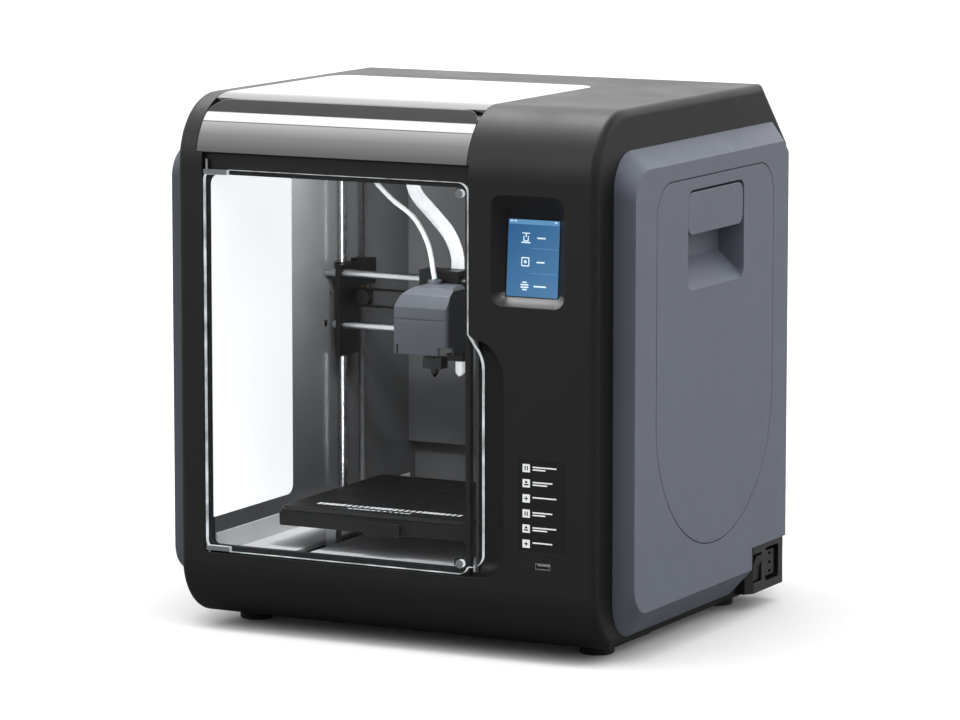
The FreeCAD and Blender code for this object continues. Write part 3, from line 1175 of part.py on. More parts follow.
def main_board():
    """The control board on edge behind the screen, with its larger components."""
    board = box(BOARD_LEFT, BOARD_LEFT + 64.0, BOARD_Y - 1.6, BOARD_Y, BOARD_LOW, BOARD_LOW + 150.0)
    processor = (14.0, 34.0, 80.0, 100.0, 3.4)
    capacitor = (38.0, 56.0, 10.0, 30.0, 11.4)
    plug_strip = (6.0, 12.0, 40.0, 130.0, 8.4)
    drivers = [(22.0, 30.0, 115.0, 123.0, 5.4), (22.0, 30.0, 130.0, 138.0, 5.4)]
    chips = [box(BOARD_LEFT + x0, BOARD_LEFT + x1, BOARD_Y - 0.1, BOARD_Y + height,
                 BOARD_LOW + z0, BOARD_LOW + z1)
             for x0, x1, z0, z1, height in [processor, capacitor, plug_strip] + drivers]
    return fuse([board] + chips)


def shell_screws():
    """Pan-head screws of the rear cover and of the base pan."""
    screws = []
    for x, z in rear_screw_places():
        head = cyl_y(SCREW_HEAD_R, REAR - 1.9, REAR - 0.4, x, z)
        shank = cyl_y(SCREW_SHANK_R, REAR - 5.5, REAR - 1.5, x, z)
        screws.append(fuse([head, shank]))
    under = BODY_BOTTOM + BASE_STEP
    for x in (-118.0, 118.0):
        for y in (-79.0, 127.0):
            screws.append(cyl_z(SCREW_HEAD_R, under - 1.2, under + 0.1, x, y))
    return group(screws)


NODES = {
    "main_shell": main_shell,
    "base_pan": base_pan,
    "feet": feet,
    "chamber_liner": chamber_liner,
    "chamber_floor": chamber_floor,
    "side_window": side_window,
    "left_panel": left_panel,
    "right_panel": right_panel,
    "rear_cover": rear_cover,
    "front_fascia": front_fascia,
    "touch_screen": touch_screen,
    "icon_label": icon_label,
    "usb_port": usb_port,
    "power_inlet": power_inlet,
    "inlet_pins": inlet_pins,
    "rocker_switch": rocker_switch,
    "power_supply": power_supply,
    "main_board": main_board,
    "stepper_motors": stepper_motors,
    "z_rods": z_rods,
    "y_rods": y_rods,
    "y_belt": y_belt,
    "y_pulley": y_pulley,
    "y_idler": y_idler,
    "spool_spindle": spool_spindle,
    "feeder_body": feeder_body,
    "feeder_gear": feeder_gear,
    "feeder_arm": feeder_arm,
    "fixed_tube": fixed_tube,
    "exhaust_fan": exhaust_fan,
    "shell_screws": shell_screws,
    "hinge_pins": hinge_pins,
    "door_pane": door_pane,
    "door_fittings": door_fittings,
    "top_lid": top_lid,
    "filament_cover": filament_cover,
    "cover_latch": cover_latch,
    "gantry_blocks": gantry_blocks,
    "x_rods": x_rods,
    "z_nuts": z_nuts,
    "x_motor": x_motor,
    "x_pulley": x_pulley,
    "x_idler": x_idler,
    "x_belt": x_belt,
    "feed_tube_upper": feed_tube_upper,
    "ribbon_upper": ribbon_upper,
    "head_carriage": head_carriage,
    "head_cover": head_cover,
    "head_fan": head_fan,
    "hot_end": hot_end,
    "nozzle": nozzle,
    "release_tab": release_tab,
    "feed_tube_lower": feed_tube_lower,
    "ribbon_lower": ribbon_lower,
    "bed_carriage": bed_carriage,
    "bed_frame": bed_frame,
    "build_plate": build_plate,
}


def build():
    os.makedirs(OUT_DIR, exist_ok=True)
    shapes = {name: make() for name, make in NODES.items()}
    shapes["z_screw_left"] = lead_screw(-1)
    shapes["z_screw_right"] = lead_screw(1)
    for name, shape in shapes.items():
        shape.exportStep(os.path.join(OUT_DIR, name + ".step"))


build()
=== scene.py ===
import math

import bmesh
import bpy
from mathutils import Matrix, Vector


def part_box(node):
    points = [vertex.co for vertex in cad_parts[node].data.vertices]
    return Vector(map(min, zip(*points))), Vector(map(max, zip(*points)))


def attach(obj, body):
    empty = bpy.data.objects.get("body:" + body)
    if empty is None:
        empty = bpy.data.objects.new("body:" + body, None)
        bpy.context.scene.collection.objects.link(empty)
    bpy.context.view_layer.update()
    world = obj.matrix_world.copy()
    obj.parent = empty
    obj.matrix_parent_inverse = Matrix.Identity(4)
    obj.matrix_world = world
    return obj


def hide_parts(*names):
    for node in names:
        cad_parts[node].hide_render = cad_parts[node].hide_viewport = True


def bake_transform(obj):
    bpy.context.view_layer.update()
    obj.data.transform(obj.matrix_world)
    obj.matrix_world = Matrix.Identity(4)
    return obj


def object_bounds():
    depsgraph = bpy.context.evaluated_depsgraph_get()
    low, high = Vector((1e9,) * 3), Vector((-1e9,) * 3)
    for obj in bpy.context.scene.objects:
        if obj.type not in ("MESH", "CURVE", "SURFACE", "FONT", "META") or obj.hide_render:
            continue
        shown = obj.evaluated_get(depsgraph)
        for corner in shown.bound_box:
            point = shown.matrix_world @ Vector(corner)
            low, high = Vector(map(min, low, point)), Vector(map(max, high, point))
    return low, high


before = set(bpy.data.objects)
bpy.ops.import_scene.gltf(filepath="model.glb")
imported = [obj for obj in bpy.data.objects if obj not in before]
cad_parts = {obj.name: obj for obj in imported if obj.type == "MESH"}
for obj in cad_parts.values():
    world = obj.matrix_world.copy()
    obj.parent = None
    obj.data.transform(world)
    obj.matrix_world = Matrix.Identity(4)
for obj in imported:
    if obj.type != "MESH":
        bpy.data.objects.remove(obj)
CAD_LOW, CAD_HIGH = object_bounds()

MM = 0.001


# ---------------------------------------------------------------- node materials

class Look:
    """A node material around one Principled shader, with textures measured in millimetres."""

    def __init__(self, name, **inputs):
        self.mat = bpy.data.materials.new(name)
        self.mat.use_nodes = True
        self.tree = self.mat.node_tree
        self.shader = self.tree.nodes["Principled BSDF"]
        self.output = self.tree.nodes["Material Output"]
        self.place = self.add("ShaderNodeTexCoord").outputs["Object"]
        self.normal = None
        for key, value in inputs.items():
            self.set(key.replace("_", " "), value)

    def add(self, kind, **settings):
        node = self.tree.nodes.new(kind)
        for key, value in settings.items():
            setattr(node, key, value)
        return node

    def link(self, source, target):
        self.tree.links.new(source, target)

    def set(self, key, value):
        slot = self.shader.inputs[key]
        if hasattr(value, "links"):
            self.link(value, slot)
        else:
            slot.default_value = value if isinstance(value, (int, float)) else (*value[:3], 1.0)

    def noise(self, size, detail=2.0, rough=0.5, stretch=None):
        """Cloudy noise whose features are about size millimetres."""
        node = self.add("ShaderNodeTexNoise")
        node.inputs["Scale"].default_value = 1.0 / (size * MM)
        node.inputs["Detail"].default_value = detail
        node.inputs["Roughness"].default_value = rough
        self.link(self.stretched(stretch), node.inputs["Vector"])
        return node.outputs["Fac"]

    def cells(self, size, feature="F1", stretch=None):
        node = self.add("ShaderNodeTexVoronoi", feature=feature)
        node.inputs["Scale"].default_value = 1.0 / (size * MM)
        self.link(self.stretched(stretch), node.inputs["Vector"])
        return node.outputs["Distance"]

    def stretched(self, stretch):
        if stretch is None:
            return self.place
        node = self.add("ShaderNodeVectorMath", operation="MULTIPLY")
        self.link(self.place, node.inputs[0])
        node.inputs[1].default_value = stretch
        return node.outputs[0]

    def axis(self, letter, source=None):
        node = self.add("ShaderNodeSeparateXYZ")
        self.link(source or self.place, node.inputs[0])
        return node.outputs[letter]

    def math(self, operation, a, b=0.0, c=0.0):
        node = self.add("ShaderNodeMath", operation=operation)
        for slot, value in zip(node.inputs, (a, b, c)):
            if hasattr(value, "links"):
                self.link(value, slot)
            else:
                slot.default_value = value
        return node.outputs[0]

    def remap(self, value, a0, a1, b0, b1):
        node = self.add("ShaderNodeMapRange")
        self.link(value, node.inputs[0])
        for slot, number in zip(node.inputs[1:5], (a0, a1, b0, b1)):
            slot.default_value = number
        return node.outputs[0]

    def blend(self, factor, a, b, mode="MIX"):
        node = self.add("ShaderNodeMix", data_type="RGBA", blend_type=mode)
        for slot, value in zip((node.inputs[0], node.inputs[6], node.inputs[7]), (factor, a, b)):
            if hasattr(value, "links"):
                self.link(value, slot)
            elif isinstance(value, (int, float)):
                slot.default_value = value
            else:
                slot.default_value = (*value[:3], 1.0)
        return node.outputs[2]

    def soften(self, radius=0.5):
        """Rounds the shading of hard edges and returns a mask that is 1 on them."""
        node = self.add("ShaderNodeBevel", samples=4)
        node.inputs["Radius"].default_value = radius * MM
        self.normal = node.outputs[0]
        flat = self.add("ShaderNodeNewGeometry").outputs["Normal"]
        dot = self.add("ShaderNodeVectorMath", operation="DOT_PRODUCT")
        self.link(self.normal, dot.inputs[0])
        self.link(flat, dot.inputs[1])
        return self.remap(dot.outputs["Value"], 1.0, 0.85, 0.0, 1.0)

    def bump(self, height, depth, strength=1.0):
        """Raises the surface by depth millimetres where height is 1."""
        node = self.add("ShaderNodeBump")
        node.inputs["Strength"].default_value = strength
        node.inputs["Distance"].default_value = depth * MM
        self.link(height, node.inputs["Height"])
        if self.normal is not None:
            self.link(self.normal, node.inputs["Normal"])
        self.normal = node.outputs[0]

    def done(self):
        if self.normal is not None:
            self.set("Normal", self.normal)
        return self.mat


def moulded(name, colour, rough=0.45, grain=0.6, depth=0.02, tint=0.08, wear_and_highlight_amount=0.25, specular=0.5, edge=0.5,
            patch=60.0, **inputs):
    """Moulded plastic: fine grain, slight colour and gloss drift, edges painted a little lighter, partly as rubbed wear
    and partly as a painted highlight.
    """
    look = Look(name, **inputs)
    rim = look.soften(edge)
    drift = look.noise(patch, 4.0)
    shade = look.remap(drift, 0.3, 0.7, 1.0 - tint, 1.0 + tint)
    base = look.add("ShaderNodeVectorMath", operation="SCALE")
    base.inputs[0].default_value = colour
    look.link(shade, base.inputs["Scale"])
    # Lighter edges: part rubbed wear, part painted highlight in place of light caught on rounded edges.
    edge_wear_and_highlight = look.math("MULTIPLY", rim, look.remap(look.noise(3.0, 5.0), 0.35, 0.7, 0.0, wear_and_highlight_amount))
    worn_and_highlit_colour = [min(1.0, c * 2.2 + 0.02) for c in colour]
    look.set("Base Color", look.blend(edge_wear_and_highlight, base.outputs[0], worn_and_highlit_colour))
    smear = look.noise(patch * 0.3, 6.0, 0.6)
    speck = look.noise(grain * 0.8, 2.0)
    gloss = look.math("ADD", look.remap(smear, 0.3, 0.7, rough - 0.05, rough + 0.05),
                      look.remap(speck, 0.3, 0.7, -0.03, 0.03))
    look.set("Roughness", gloss)
    look.set("Specular IOR Level", specular)
    if depth > 0.0:
        look.bump(look.cells(grain, "SMOOTH_F1"), depth)
        look.bump(look.noise(grain * 0.5, 3.0), depth * 0.5)
    return look.done()


def metal(name, colour, rough=0.25, brush=None, spots=0.1, edge=0.3):
    """Metal with drawn or brushed lines along the stretched axis and faint handling marks."""
    look = Look(name, Metallic=1.0)
    look.soften(edge)
    lines = look.noise(0.25, 3.0, 0.6, brush)
    marks = look.noise(12.0, 6.0, 0.65)
    shade = look.add("ShaderNodeVectorMath", operation="SCALE")
    shade.inputs[0].default_value = colour
    look.link(look.remap(marks, 0.3, 0.7, 1.0 - spots, 1.0), shade.inputs["Scale"])
    look.set("Base Color", shade.outputs[0])
    look.set("Roughness", look.math("ADD", look.remap(lines, 0.3, 0.7, rough * 0.7, rough * 1.2),
                                    look.remap(marks, 0.4, 0.7, 0.0, 0.08)))
    look.bump(lines, 0.006)
    return look.done()


def gloss_black():
    """Piano-black mirror finish with faint polishing haze."""
    look = Look("gloss_black_look", IOR=3.0)
    look.soften(0.4)
    haze = look.noise(25.0, 6.0, 0.6)
    look.set("Base Color", look.blend(look.remap(haze, 0.3, 0.7, 0.0, 1.0), (0.004, 0.004, 0.004),
                                      (0.008, 0.008, 0.009)))
    look.set("Roughness", look.remap(haze, 0.3, 0.7, 0.02, 0.05))
    look.bump(look.noise(40.0, 1.0), 0.02)
    return look.done()


def liner():
    """Dark semi-gloss sheet inside the chamber: it mirrors the guides softly."""
    look = Look("liner_look")
    look.soften(0.4)
    drift = look.noise(70.0, 4.0)
    look.set("Base Color", look.blend(look.remap(drift, 0.3, 0.7, 0.0, 1.0), (0.052, 0.053, 0.055),
                                      (0.066, 0.067, 0.070)))
    look.set("Roughness", look.remap(look.noise(9.0, 6.0, 0.6), 0.3, 0.7, 0.16, 0.26))
    look.set("Specular IOR Level", 0.9)
    look.bump(look.noise(0.7, 2.0), 0.006)
    return look.done()


def edge_mask(look, cut=0.75):
    """1 on a door sheet's cut edges, 0 on its two large faces, in the sheet's own axes."""
    normal = look.add("ShaderNodeNewGeometry").outputs["True Normal"]
    turn = look.add("ShaderNodeVectorTransform", vector_type="NORMAL", convert_from="WORLD", convert_to="OBJECT")
    look.link(normal, turn.inputs[0])
    across = look.math("ABSOLUTE", look.axis("Y", turn.outputs[0]))
    return look.math("LESS_THAN", across, cut)


def clear_sheet():
    """Clear acrylic: see-through faces with a faint reflection; the edges glow by emission, a painted highlight in
    place of light caught by polished edges.
    """
    look = Look("clear_sheet_look", Roughness=0.12)
    look.set("Base Color", (0.50, 0.54, 0.56))
    look.set("Emission Color", (0.93, 0.97, 1.0))
    # Painted highlight: the edges glow by emission, streaked by noise.
    painted_edge_glow = look.remap(look.noise(14.0, 3.0), 0.35, 0.65, 0.18, 0.75)
    look.set("Emission Strength", painted_edge_glow)
    look.set("Specular IOR Level", 1.0)
    smudge = look.noise(30.0, 6.0, 0.6)
    through = look.add("ShaderNodeBsdfTransparent")
    through.inputs[0].default_value = (0.955, 0.965, 0.97, 1.0)
    gloss = look.add("ShaderNodeBsdfGlossy")
    look.link(look.remap(smudge, 0.3, 0.7, 0.0, 0.04), gloss.inputs["Roughness"])
    slant = look.add("ShaderNodeLayerWeight").outputs["Facing"]
    mirror = look.math("MULTIPLY_ADD", look.math("POWER", slant, 5.0), 0.5, 0.012)
    face = look.add("ShaderNodeMixShader")
    look.link(mirror, face.inputs[0])
    look.link(through.outputs[0], face.inputs[1])
    look.link(gloss.outputs[0], face.inputs[2])
    glow = look.add("ShaderNodeMixShader")
    glow.inputs[0].default_value = 0.85
    look.link(through.outputs[0], glow.inputs[1])
    look.link(look.shader.outputs[0], glow.inputs[2])
    whole = look.add("ShaderNodeMixShader")
    look.link(edge_mask(look), whole.inputs[0])
    look.link(face.outputs[0], whole.inputs[1])
    look.link(glow.outputs[0], whole.inputs[2])
    look.link(whole.outputs[0], look.output.inputs["Surface"])
    return look.mat


def opal_sheet():
    """Milky diffusing sheet that glows by emission: painted light in place of light from outside the chamber."""
    look = Look("opal_sheet_look", Roughness=0.35)
    cloud = look.remap(look.noise(90.0, 2.0), 0.3, 0.7, 0.97, 1.03)
    grain = look.noise(0.8, 2.0)
    look.set("Base Color", (0.9, 0.91, 0.92))
    look.set("Emission Color", (0.97, 0.985, 1.0))
    # Painted light: the sheet glows by emission, with a faint cloudy variation.
    look.set("Emission Strength", look.math("MULTIPLY", cloud, 0.87))
    look.bump(grain, 0.01)
    return look.done()


def display():
    """Blue menu backdrop: brighter towards the lower right, with a fine pixel grid."""
    low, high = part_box("touch_screen")
    look = Look("display_look", Roughness=0.08, Specular_IOR_Level=0.2)
    up = look.remap(look.axis("Z"), low.z, high.z, 0.0, 1.0)
    along = look.remap(look.axis("X"), low.x, high.x, 0.0, 1.0)
    slope = look.math("ADD", look.math("MULTIPLY", up, -0.7), look.math("MULTIPLY", along, 0.5))
    glow = look.remap(slope, -0.7, 0.5, 0.0, 1.0)
    blue = look.blend(glow, (0.020, 0.115, 0.29), (0.085, 0.23, 0.43))
    fine = look.add("ShaderNodeTexWave", wave_type="BANDS", bands_direction="X")
    fine.inputs["Scale"].default_value = 1000.0
    look.link(look.place, fine.inputs["Vector"])
    grid = look.remap(fine.outputs["Fac"], 0.0, 1.0, 0.95, 1.0)
    rim_x = look.math("LESS_THAN", look.math("ABSOLUTE", look.math("SUBTRACT", along, 0.5)), 0.470)
    rim_z = look.math("LESS_THAN", look.math("ABSOLUTE", look.math("SUBTRACT", up, 0.5)), 0.478)
    lit = look.math("MULTIPLY", look.math("MULTIPLY", rim_x, rim_z), grid)
    look.set("Base Color", (0.004, 0.004, 0.005))
    look.set("Emission Color", blue)
    look.set("Emission Strength", look.math("MULTIPLY", lit, 0.95))
    return look.done()


def glowing(name, colour, strength=1.0):
    """Marks that glow by emission, with the slight mottling of ink: lit screen marks, and painted glow on printed marks
    and on the white release tab.
    """
    look = Look(name, Roughness=0.5)
    ink = look.remap(look.noise(0.4, 3.0), 0.3, 0.7, 0.92, 1.0)
    look.set("Base Color", colour)
    look.set("Emission Color", colour)
    look.set("Emission Strength", look.math("MULTIPLY", ink, strength))
    return look.done()


def rubber(name, colour=(0.012, 0.012, 0.012), rough=0.7):
    return moulded(name, colour, rough, 0.4, 0.03, 0.12, 0.1, 0.3)


def lead_ribbon():
    """White ribbon cable insulation, greyer and duller where it was handled."""
    look = Look("ribbon_look", Roughness=0.45)
    soil = look.remap(look.noise(9.0, 4.0), 0.3, 0.7, 0.0, 1.0)
    look.set("Base Color", look.blend(soil, (0.70, 0.70, 0.71), (0.82, 0.82, 0.83)))
    look.set("Roughness", look.remap(soil, 0.0, 1.0, 0.40, 0.52))
    look.bump(look.noise(0.8, 2.0), 0.01)
    look.set("Subsurface Weight", 0.05)
    return look.done()


def ptfe():
    """Milky feed tube."""
    look = Look("ptfe_look", Roughness=0.3)
    look.set("Base Color", look.blend(look.remap(look.noise(8.0, 3.0), 0.3, 0.7, 0.0, 1.0), (0.72, 0.72, 0.72),
                                      (0.85, 0.85, 0.86)))
    look.set("Subsurface Weight", 0.1)
    return look.done()


def circuit():
    """Green board with copper lanes."""
    look = Look("circuit_look", Roughness=0.4)
    lanes = look.cells(2.4, "DISTANCE_TO_EDGE", (1.0, 0.2, 1.0))
    mask = look.remap(lanes, 0.02, 0.06, 1.0, 0.0)
    look.set("Base Color", look.blend(mask, (0.012, 0.09, 0.04), (0.05, 0.2, 0.09)))
    look.bump(mask, 0.05)
    return look.done()


PANEL = (0.124, 0.137, 0.169)
HEAD = (0.082, 0.088, 0.103)

LOOKS = {
    "shell_black": moulded("shell_look", (0.0098, 0.0099, 0.0103), 0.50, 0.75, 0.045, 0.04,
                           0.3, 0.20, 0.6, 200.0),
    "panel_grey": moulded("panel_look", PANEL, 0.55, 0.5, 0.02, 0.03, 0.2, 0.3, 0.5),
    "gloss_black": gloss_black(),
    "liner_grey": liner(),
    "floor_grey": moulded("floor_look", (0.47, 0.47, 0.48), 0.4, 0.7, 0.02, 0.06, 0.2, 0.5),
    "clear_acrylic": clear_sheet(),
    "opal_acrylic": opal_sheet(),
    "display": display(),
    "label_film": moulded("label_look", (0.006, 0.006, 0.007), 0.3, 1.2, 0.004, 0.1, 0.1, 0.4, 0.1),
    "steel": metal("steel_look", (0.55, 0.55, 0.56), 0.3, (0.2, 1.0, 1.0)),
    "rod_chrome": metal("chrome_look", (0.78, 0.79, 0.80), 0.26, (1.0, 1.0, 1.0), 0.06),
    "brass": metal("brass_look", (0.75, 0.52, 0.22), 0.28, (1.0, 1.0, 1.0), 0.15),
    "fins": metal("fins_look", (0.62, 0.63, 0.65), 0.35, (1.0, 0.1, 1.0), 0.1),
    "rubber": rubber("foot_look"),
    "belt": rubber("belt_look", (0.018, 0.018, 0.018), 0.6),
    "motor_case": metal("motor_look", (0.10, 0.10, 0.105), 0.42, (1.0, 1.0, 0.2), 0.2),
    "psu_case": metal("psu_look", (0.45, 0.46, 0.47), 0.4, (0.15, 1.0, 1.0), 0.12),
    "board": circuit(),
    "black_plastic": moulded("black_part_look", (0.010, 0.010, 0.011), 0.4, 0.5, 0.02, 0.1, 0.2, 0.4),
    "head_grey": moulded("head_look", HEAD, 0.38, 0.4, 0.01, 0.04, 0.2, 0.5),
    "tube_white": ptfe(),
    "ribbon_white": lead_ribbon(),
    "bed_black": moulded("bed_look", (0.012, 0.012, 0.012), 0.5, 0.6, 0.03, 0.1, 0.25, 0.4),
    "plate_black": moulded("plate_look", (0.010, 0.010, 0.010), 0.55, 0.9, 0.06, 0.1, 0.15, 0.35),
    "white_plastic": moulded("white_look", (0.75, 0.75, 0.74), 0.4, 0.5, 0.01, 0.04, 0.0, 0.5),
}
DARK_METAL = metal("dark_metal_look", (0.07, 0.07, 0.072), 0.4, (1.0, 1.0, 0.2), 0.2)
GREY_PLASTIC = moulded("clip_look", (0.20, 0.21, 0.22), 0.3, 0.5, 0.01, 0.05, 0.1, 0.6)
# White label print that glows by emission: painted light.
LABEL_MARK_GLOW = glowing("label_mark_glow_look", (0.82, 0.84, 0.86), 0.30)
# White plate print that glows by emission: painted light.
PLATE_DASH_GLOW = glowing("plate_dash_glow_look", (0.82, 0.83, 0.84), 0.75)
# White release tab that glows by emission: painted light, brighter than the lamps make it.
TAB_PAINTED_GLOW = glowing("tab_painted_glow_look", (0.86, 0.87, 0.88), 0.55)
MENU_WHITE = glowing("menu_white_look", (0.62, 0.76, 0.86), 0.70)
MENU_STRIP = glowing("menu_strip_look", (0.075, 0.21, 0.38), 0.9)
# The release tab gets the glowing white: painted light.
SPECIAL = {"hot_end": DARK_METAL, "x_pulley": DARK_METAL, "x_idler": DARK_METAL, "y_pulley": DARK_METAL,
           "y_idler": DARK_METAL, "door_fittings": GREY_PLASTIC, "nozzle": DARK_METAL,
           "release_tab": TAB_PAINTED_GLOW}

for title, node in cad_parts.items():
    for slot in node.material_slots:
        slot.material = SPECIAL.get(title) or LOOKS[slot.material.name.split(".")[0]]


# ---------------------------------------------------------------- mesh helpers

def finish_mesh(bm, name, look, body, smooth=True):
    mesh = bpy.data.meshes.new(name)
    bmesh.ops.recalc_face_normals(bm, faces=bm.faces)
    bm.to_mesh(mesh)
    bm.free()
    if smooth:
        mesh.shade_smooth()
    piece = bpy.data.objects.new(name, mesh)
    bpy.context.scene.collection.objects.link(piece)
    mesh.materials.append(look)
    if body:
        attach(piece, body)
    return piece


# ---------------------------------------------------------------- feed tube and ribbon cable

def smooth_line(points, steps=14):
    """Closely spaced points on a smooth curve through the given ones, in metres."""
    marks = [Vector(p) * MM for p in points]
    ends = [marks[0] * 2 - marks[1]] + marks + [marks[-1] * 2 - marks[-2]]
    line = []
    for a, b, c, d in zip(ends, ends[1:], ends[2:], ends[3:]):
        for i in range(steps):
            t = i / steps
            line.append(0.5 * (2 * b + (c - a) * t + (2 * a - 5 * b + 4 * c - d) * t ** 2
                               + (3 * b - a - 3 * c + d) * t ** 3))
    return line + [marks[-1]]


def sweep(line, profile, sideways):
    """A closed skin through the profile set along the line; the profile's u runs sideways."""
    bm = bmesh.new()
    rings = []
    for i, point in enumerate(line):
        ahead = (line[min(i + 1, len(line) - 1)] - line[max(i - 1, 0)]).normalized()
        u_axis = (sideways - ahead * sideways.dot(ahead)).normalized()
        v_axis = ahead.cross(u_axis)
        rings.append([bm.verts.new(point + u_axis * u + v_axis * v) for u, v in profile])
    count = len(profile)
    for r0, r1 in zip(rings, rings[1:]):
        for i in range(count):
            j = (i + 1) % count
            bm.faces.new((r0[i], r0[j], r1[j], r1[i]))
    bm.faces.new(rings[0])
    bm.faces.new(rings[-1][::-1])
    return bm


def circle(radius, sides=20):
    return [(radius * MM * math.cos(k * math.tau / sides), radius * MM * math.sin(k * math.tau / sides))
            for k in range(sides)]


def ribbon_profile(wires=9, pitch=1.27, thick=0.55):
    """Outline of a ribbon cable: one round ridge per wire on both faces."""
    steps = 6
    half = wires * pitch / 2.0
    top = []
    for i in range(wires * steps + 1):
        u = -half + i * pitch / steps
        ridge = abs(math.sin(math.pi * i / steps))
        top.append((u * MM, (0.22 + (thick - 0.22) * math.sqrt(ridge)) * MM))
    return [(u, -v) for u, v in top] + top[::-1]


def flexible(title, points, profile, look, slot):
    sideways = Vector((0.0, 1.0, 0.0)) if slot == "tube_white" else Vector((1.0, 0.0, 0.0))
    line = smooth_line(points)
    piece = finish_mesh(sweep(line, profile, sideways), title, look, None)
    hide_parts(title)
    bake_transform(piece)
    return piece


def soft_lines():
    upper = ("chassis", "gantry")
    lower = ("gantry", "print_head")
    runs = [
        ("feed_tube_upper", upper, [(-118, 26, 384), (-118.5, 25, 350), (-109, 22, 324)]),
        ("feed_tube_lower", lower, [(-109, 22, 324), (-93, 19, 312), (-72.9, 15, 300), (-56, 7, 281), (-46, -1, 255)]),
        ("ribbon_upper", upper, [(-92, 34, 388), (-90, 34, 345), (-85, 34, 327)]),
        ("ribbon_lower", lower, [(-85, 34, 327), (-79, 33, 315), (-61, 31, 298.5), (-48.5, 29, 286), (-41, 27, 271),
                                 (-40, 26, 256)]),
    ]
    pieces = []
    for title, bodies, points in runs:
        kind = "tube_white" if "tube" in title else "ribbon_white"
        profile = circle(2.0) if "tube" in title else ribbon_profile()
        pieces.append(flexible(title, points, profile, LOOKS[kind], kind))
    return pieces


# ---------------------------------------------------------------- lead screws and toothed belts

SCREW_LEAD = 8.0
SCREW_STARTS = 4


def lead_screw(title, body):
    """Four-start rolled thread on a smooth core, with the coupling collar at its foot."""
    low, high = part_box(title)
    middle = (low + high) / 2.0
    collar_r = (high.x - low.x) / 2.0 / MM
    bottom, top = low.z / MM, high.z / MM
    outer, root, sides, step = 2.6, 2.15, 24, 0.4
    heights = [(bottom, collar_r - 0.5), (bottom + 0.5, collar_r), (bottom + 9.5, collar_r),
               (bottom + 10.0, collar_r - 0.5), (bottom + 10.0, root)]
    rings = [[(z, r)] * sides for z, r in heights]
    z = bottom + 10.2
    while z < top - 0.6:
        ring = []
        for k in range(sides):
            phase = (z - SCREW_LEAD * k / sides) / (SCREW_LEAD / SCREW_STARTS) % 1.0
            ring.append((z, root + (outer - root) * min(1.0, 2.6 * abs(phase - 0.5))))
        rings.append(ring)
        z += step
    rings += [[(top - 0.4, root)] * sides, [(top, root - 0.5)] * sides]
    bm = bmesh.new()
    skins = []
    for ring in rings:
        skins.append([bm.verts.new((middle.x + r * MM * math.cos(k * math.tau / sides),
                                    middle.y + r * MM * math.sin(k * math.tau / sides), z * MM))
                      for k, (z, r) in enumerate(ring)])
    for r0, r1 in zip(skins, skins[1:]):
        for i in range(sides):
            j = (i + 1) % sides
            bm.faces.new((r0[i], r0[j], r1[j], r1[i]))
    bm.faces.new(skins[0])
    bm.faces.new(skins[-1][::-1])
    piece = finish_mesh(bm, title + "_thread", LOOKS["steel"], body, False)
    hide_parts(title)


def toothed_belt(title, body, along):
    """A closed belt with teeth on its inner face; along is the axis number it runs in."""
    low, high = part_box(title)
    across = 1 - along
    outer = (high.z - low.z) / 2.0
    start, end = low[along] + outer, high[along] - outer
    mid_z = (low.z + high.z) / 2.0
    pitch, thin, deep = 2.0 * MM, 0.65 * MM, 1.2 * MM
    straight = end - start
    total = 2.0 * straight + math.tau * outer
    count = int(round(total / pitch)) * 4
    rows = []
    for i in range(count):
        s = total * i / count
        inset = deep if i % 4 in (0, 1) else thin
        if s < straight:
            centre, turn = start + s, math.pi / 2.0
        elif s < straight + math.pi * outer:
            centre, turn = end, math.pi / 2.0 - (s - straight) / outer
        elif s < 2.0 * straight + math.pi * outer:
            centre, turn = end - (s - straight - math.pi * outer), -math.pi / 2.0
        else:
            centre, turn = start, -math.pi / 2.0 - (s - 2.0 * straight - math.pi * outer) / outer
        rows.append((centre, turn, inset))
    bm = bmesh.new()
    rings = []
    for centre, turn, inset in rows:
        ring = []
        for r, side in ((outer, low[across]), (outer, high[across]), (outer - inset, high[across]),
                        (outer - inset, low[across])):
            place = [0.0, 0.0, mid_z + r * math.sin(turn)]
            place[along] = centre + r * math.cos(turn)
            place[across] = side
            ring.append(bm.verts.new(place))
        rings.append(ring)
    for r0, r1 in zip(rings, rings[1:] + rings[:1]):
        for i in range(4):
            j = (i + 1) % 4
            bm.faces.new((r0[i], r0[j], r1[j], r1[i]))
    piece = finish_mesh(bm, title + "_toothed", LOOKS["belt"], body, False)
    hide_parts(title)


# ---------------------------------------------------------------- printed and lit marks, the printed ones with painted glow

def slabs(title, blocks, look, body, round_mm=0.12):
    """Thin raised marks: each block is (centre, half size, turn about X), with softened edges."""
    bm = bmesh.new()
    for centre, half, tilt in blocks:
        made = bmesh.ops.create_cube(bm, size=2.0)["verts"]
        bmesh.ops.scale(bm, vec=Vector(half) * MM, verts=made)
        bmesh.ops.rotate(bm, matrix=Matrix.Rotation(tilt, 3, "X"), verts=made)
        bmesh.ops.translate(bm, vec=Vector(centre) * MM, verts=made)
    bmesh.ops.bevel(bm, geom=bm.edges[:], offset=round_mm * MM, segments=1, affect="EDGES")
    return finish_mesh(bm, title, look, body, False)


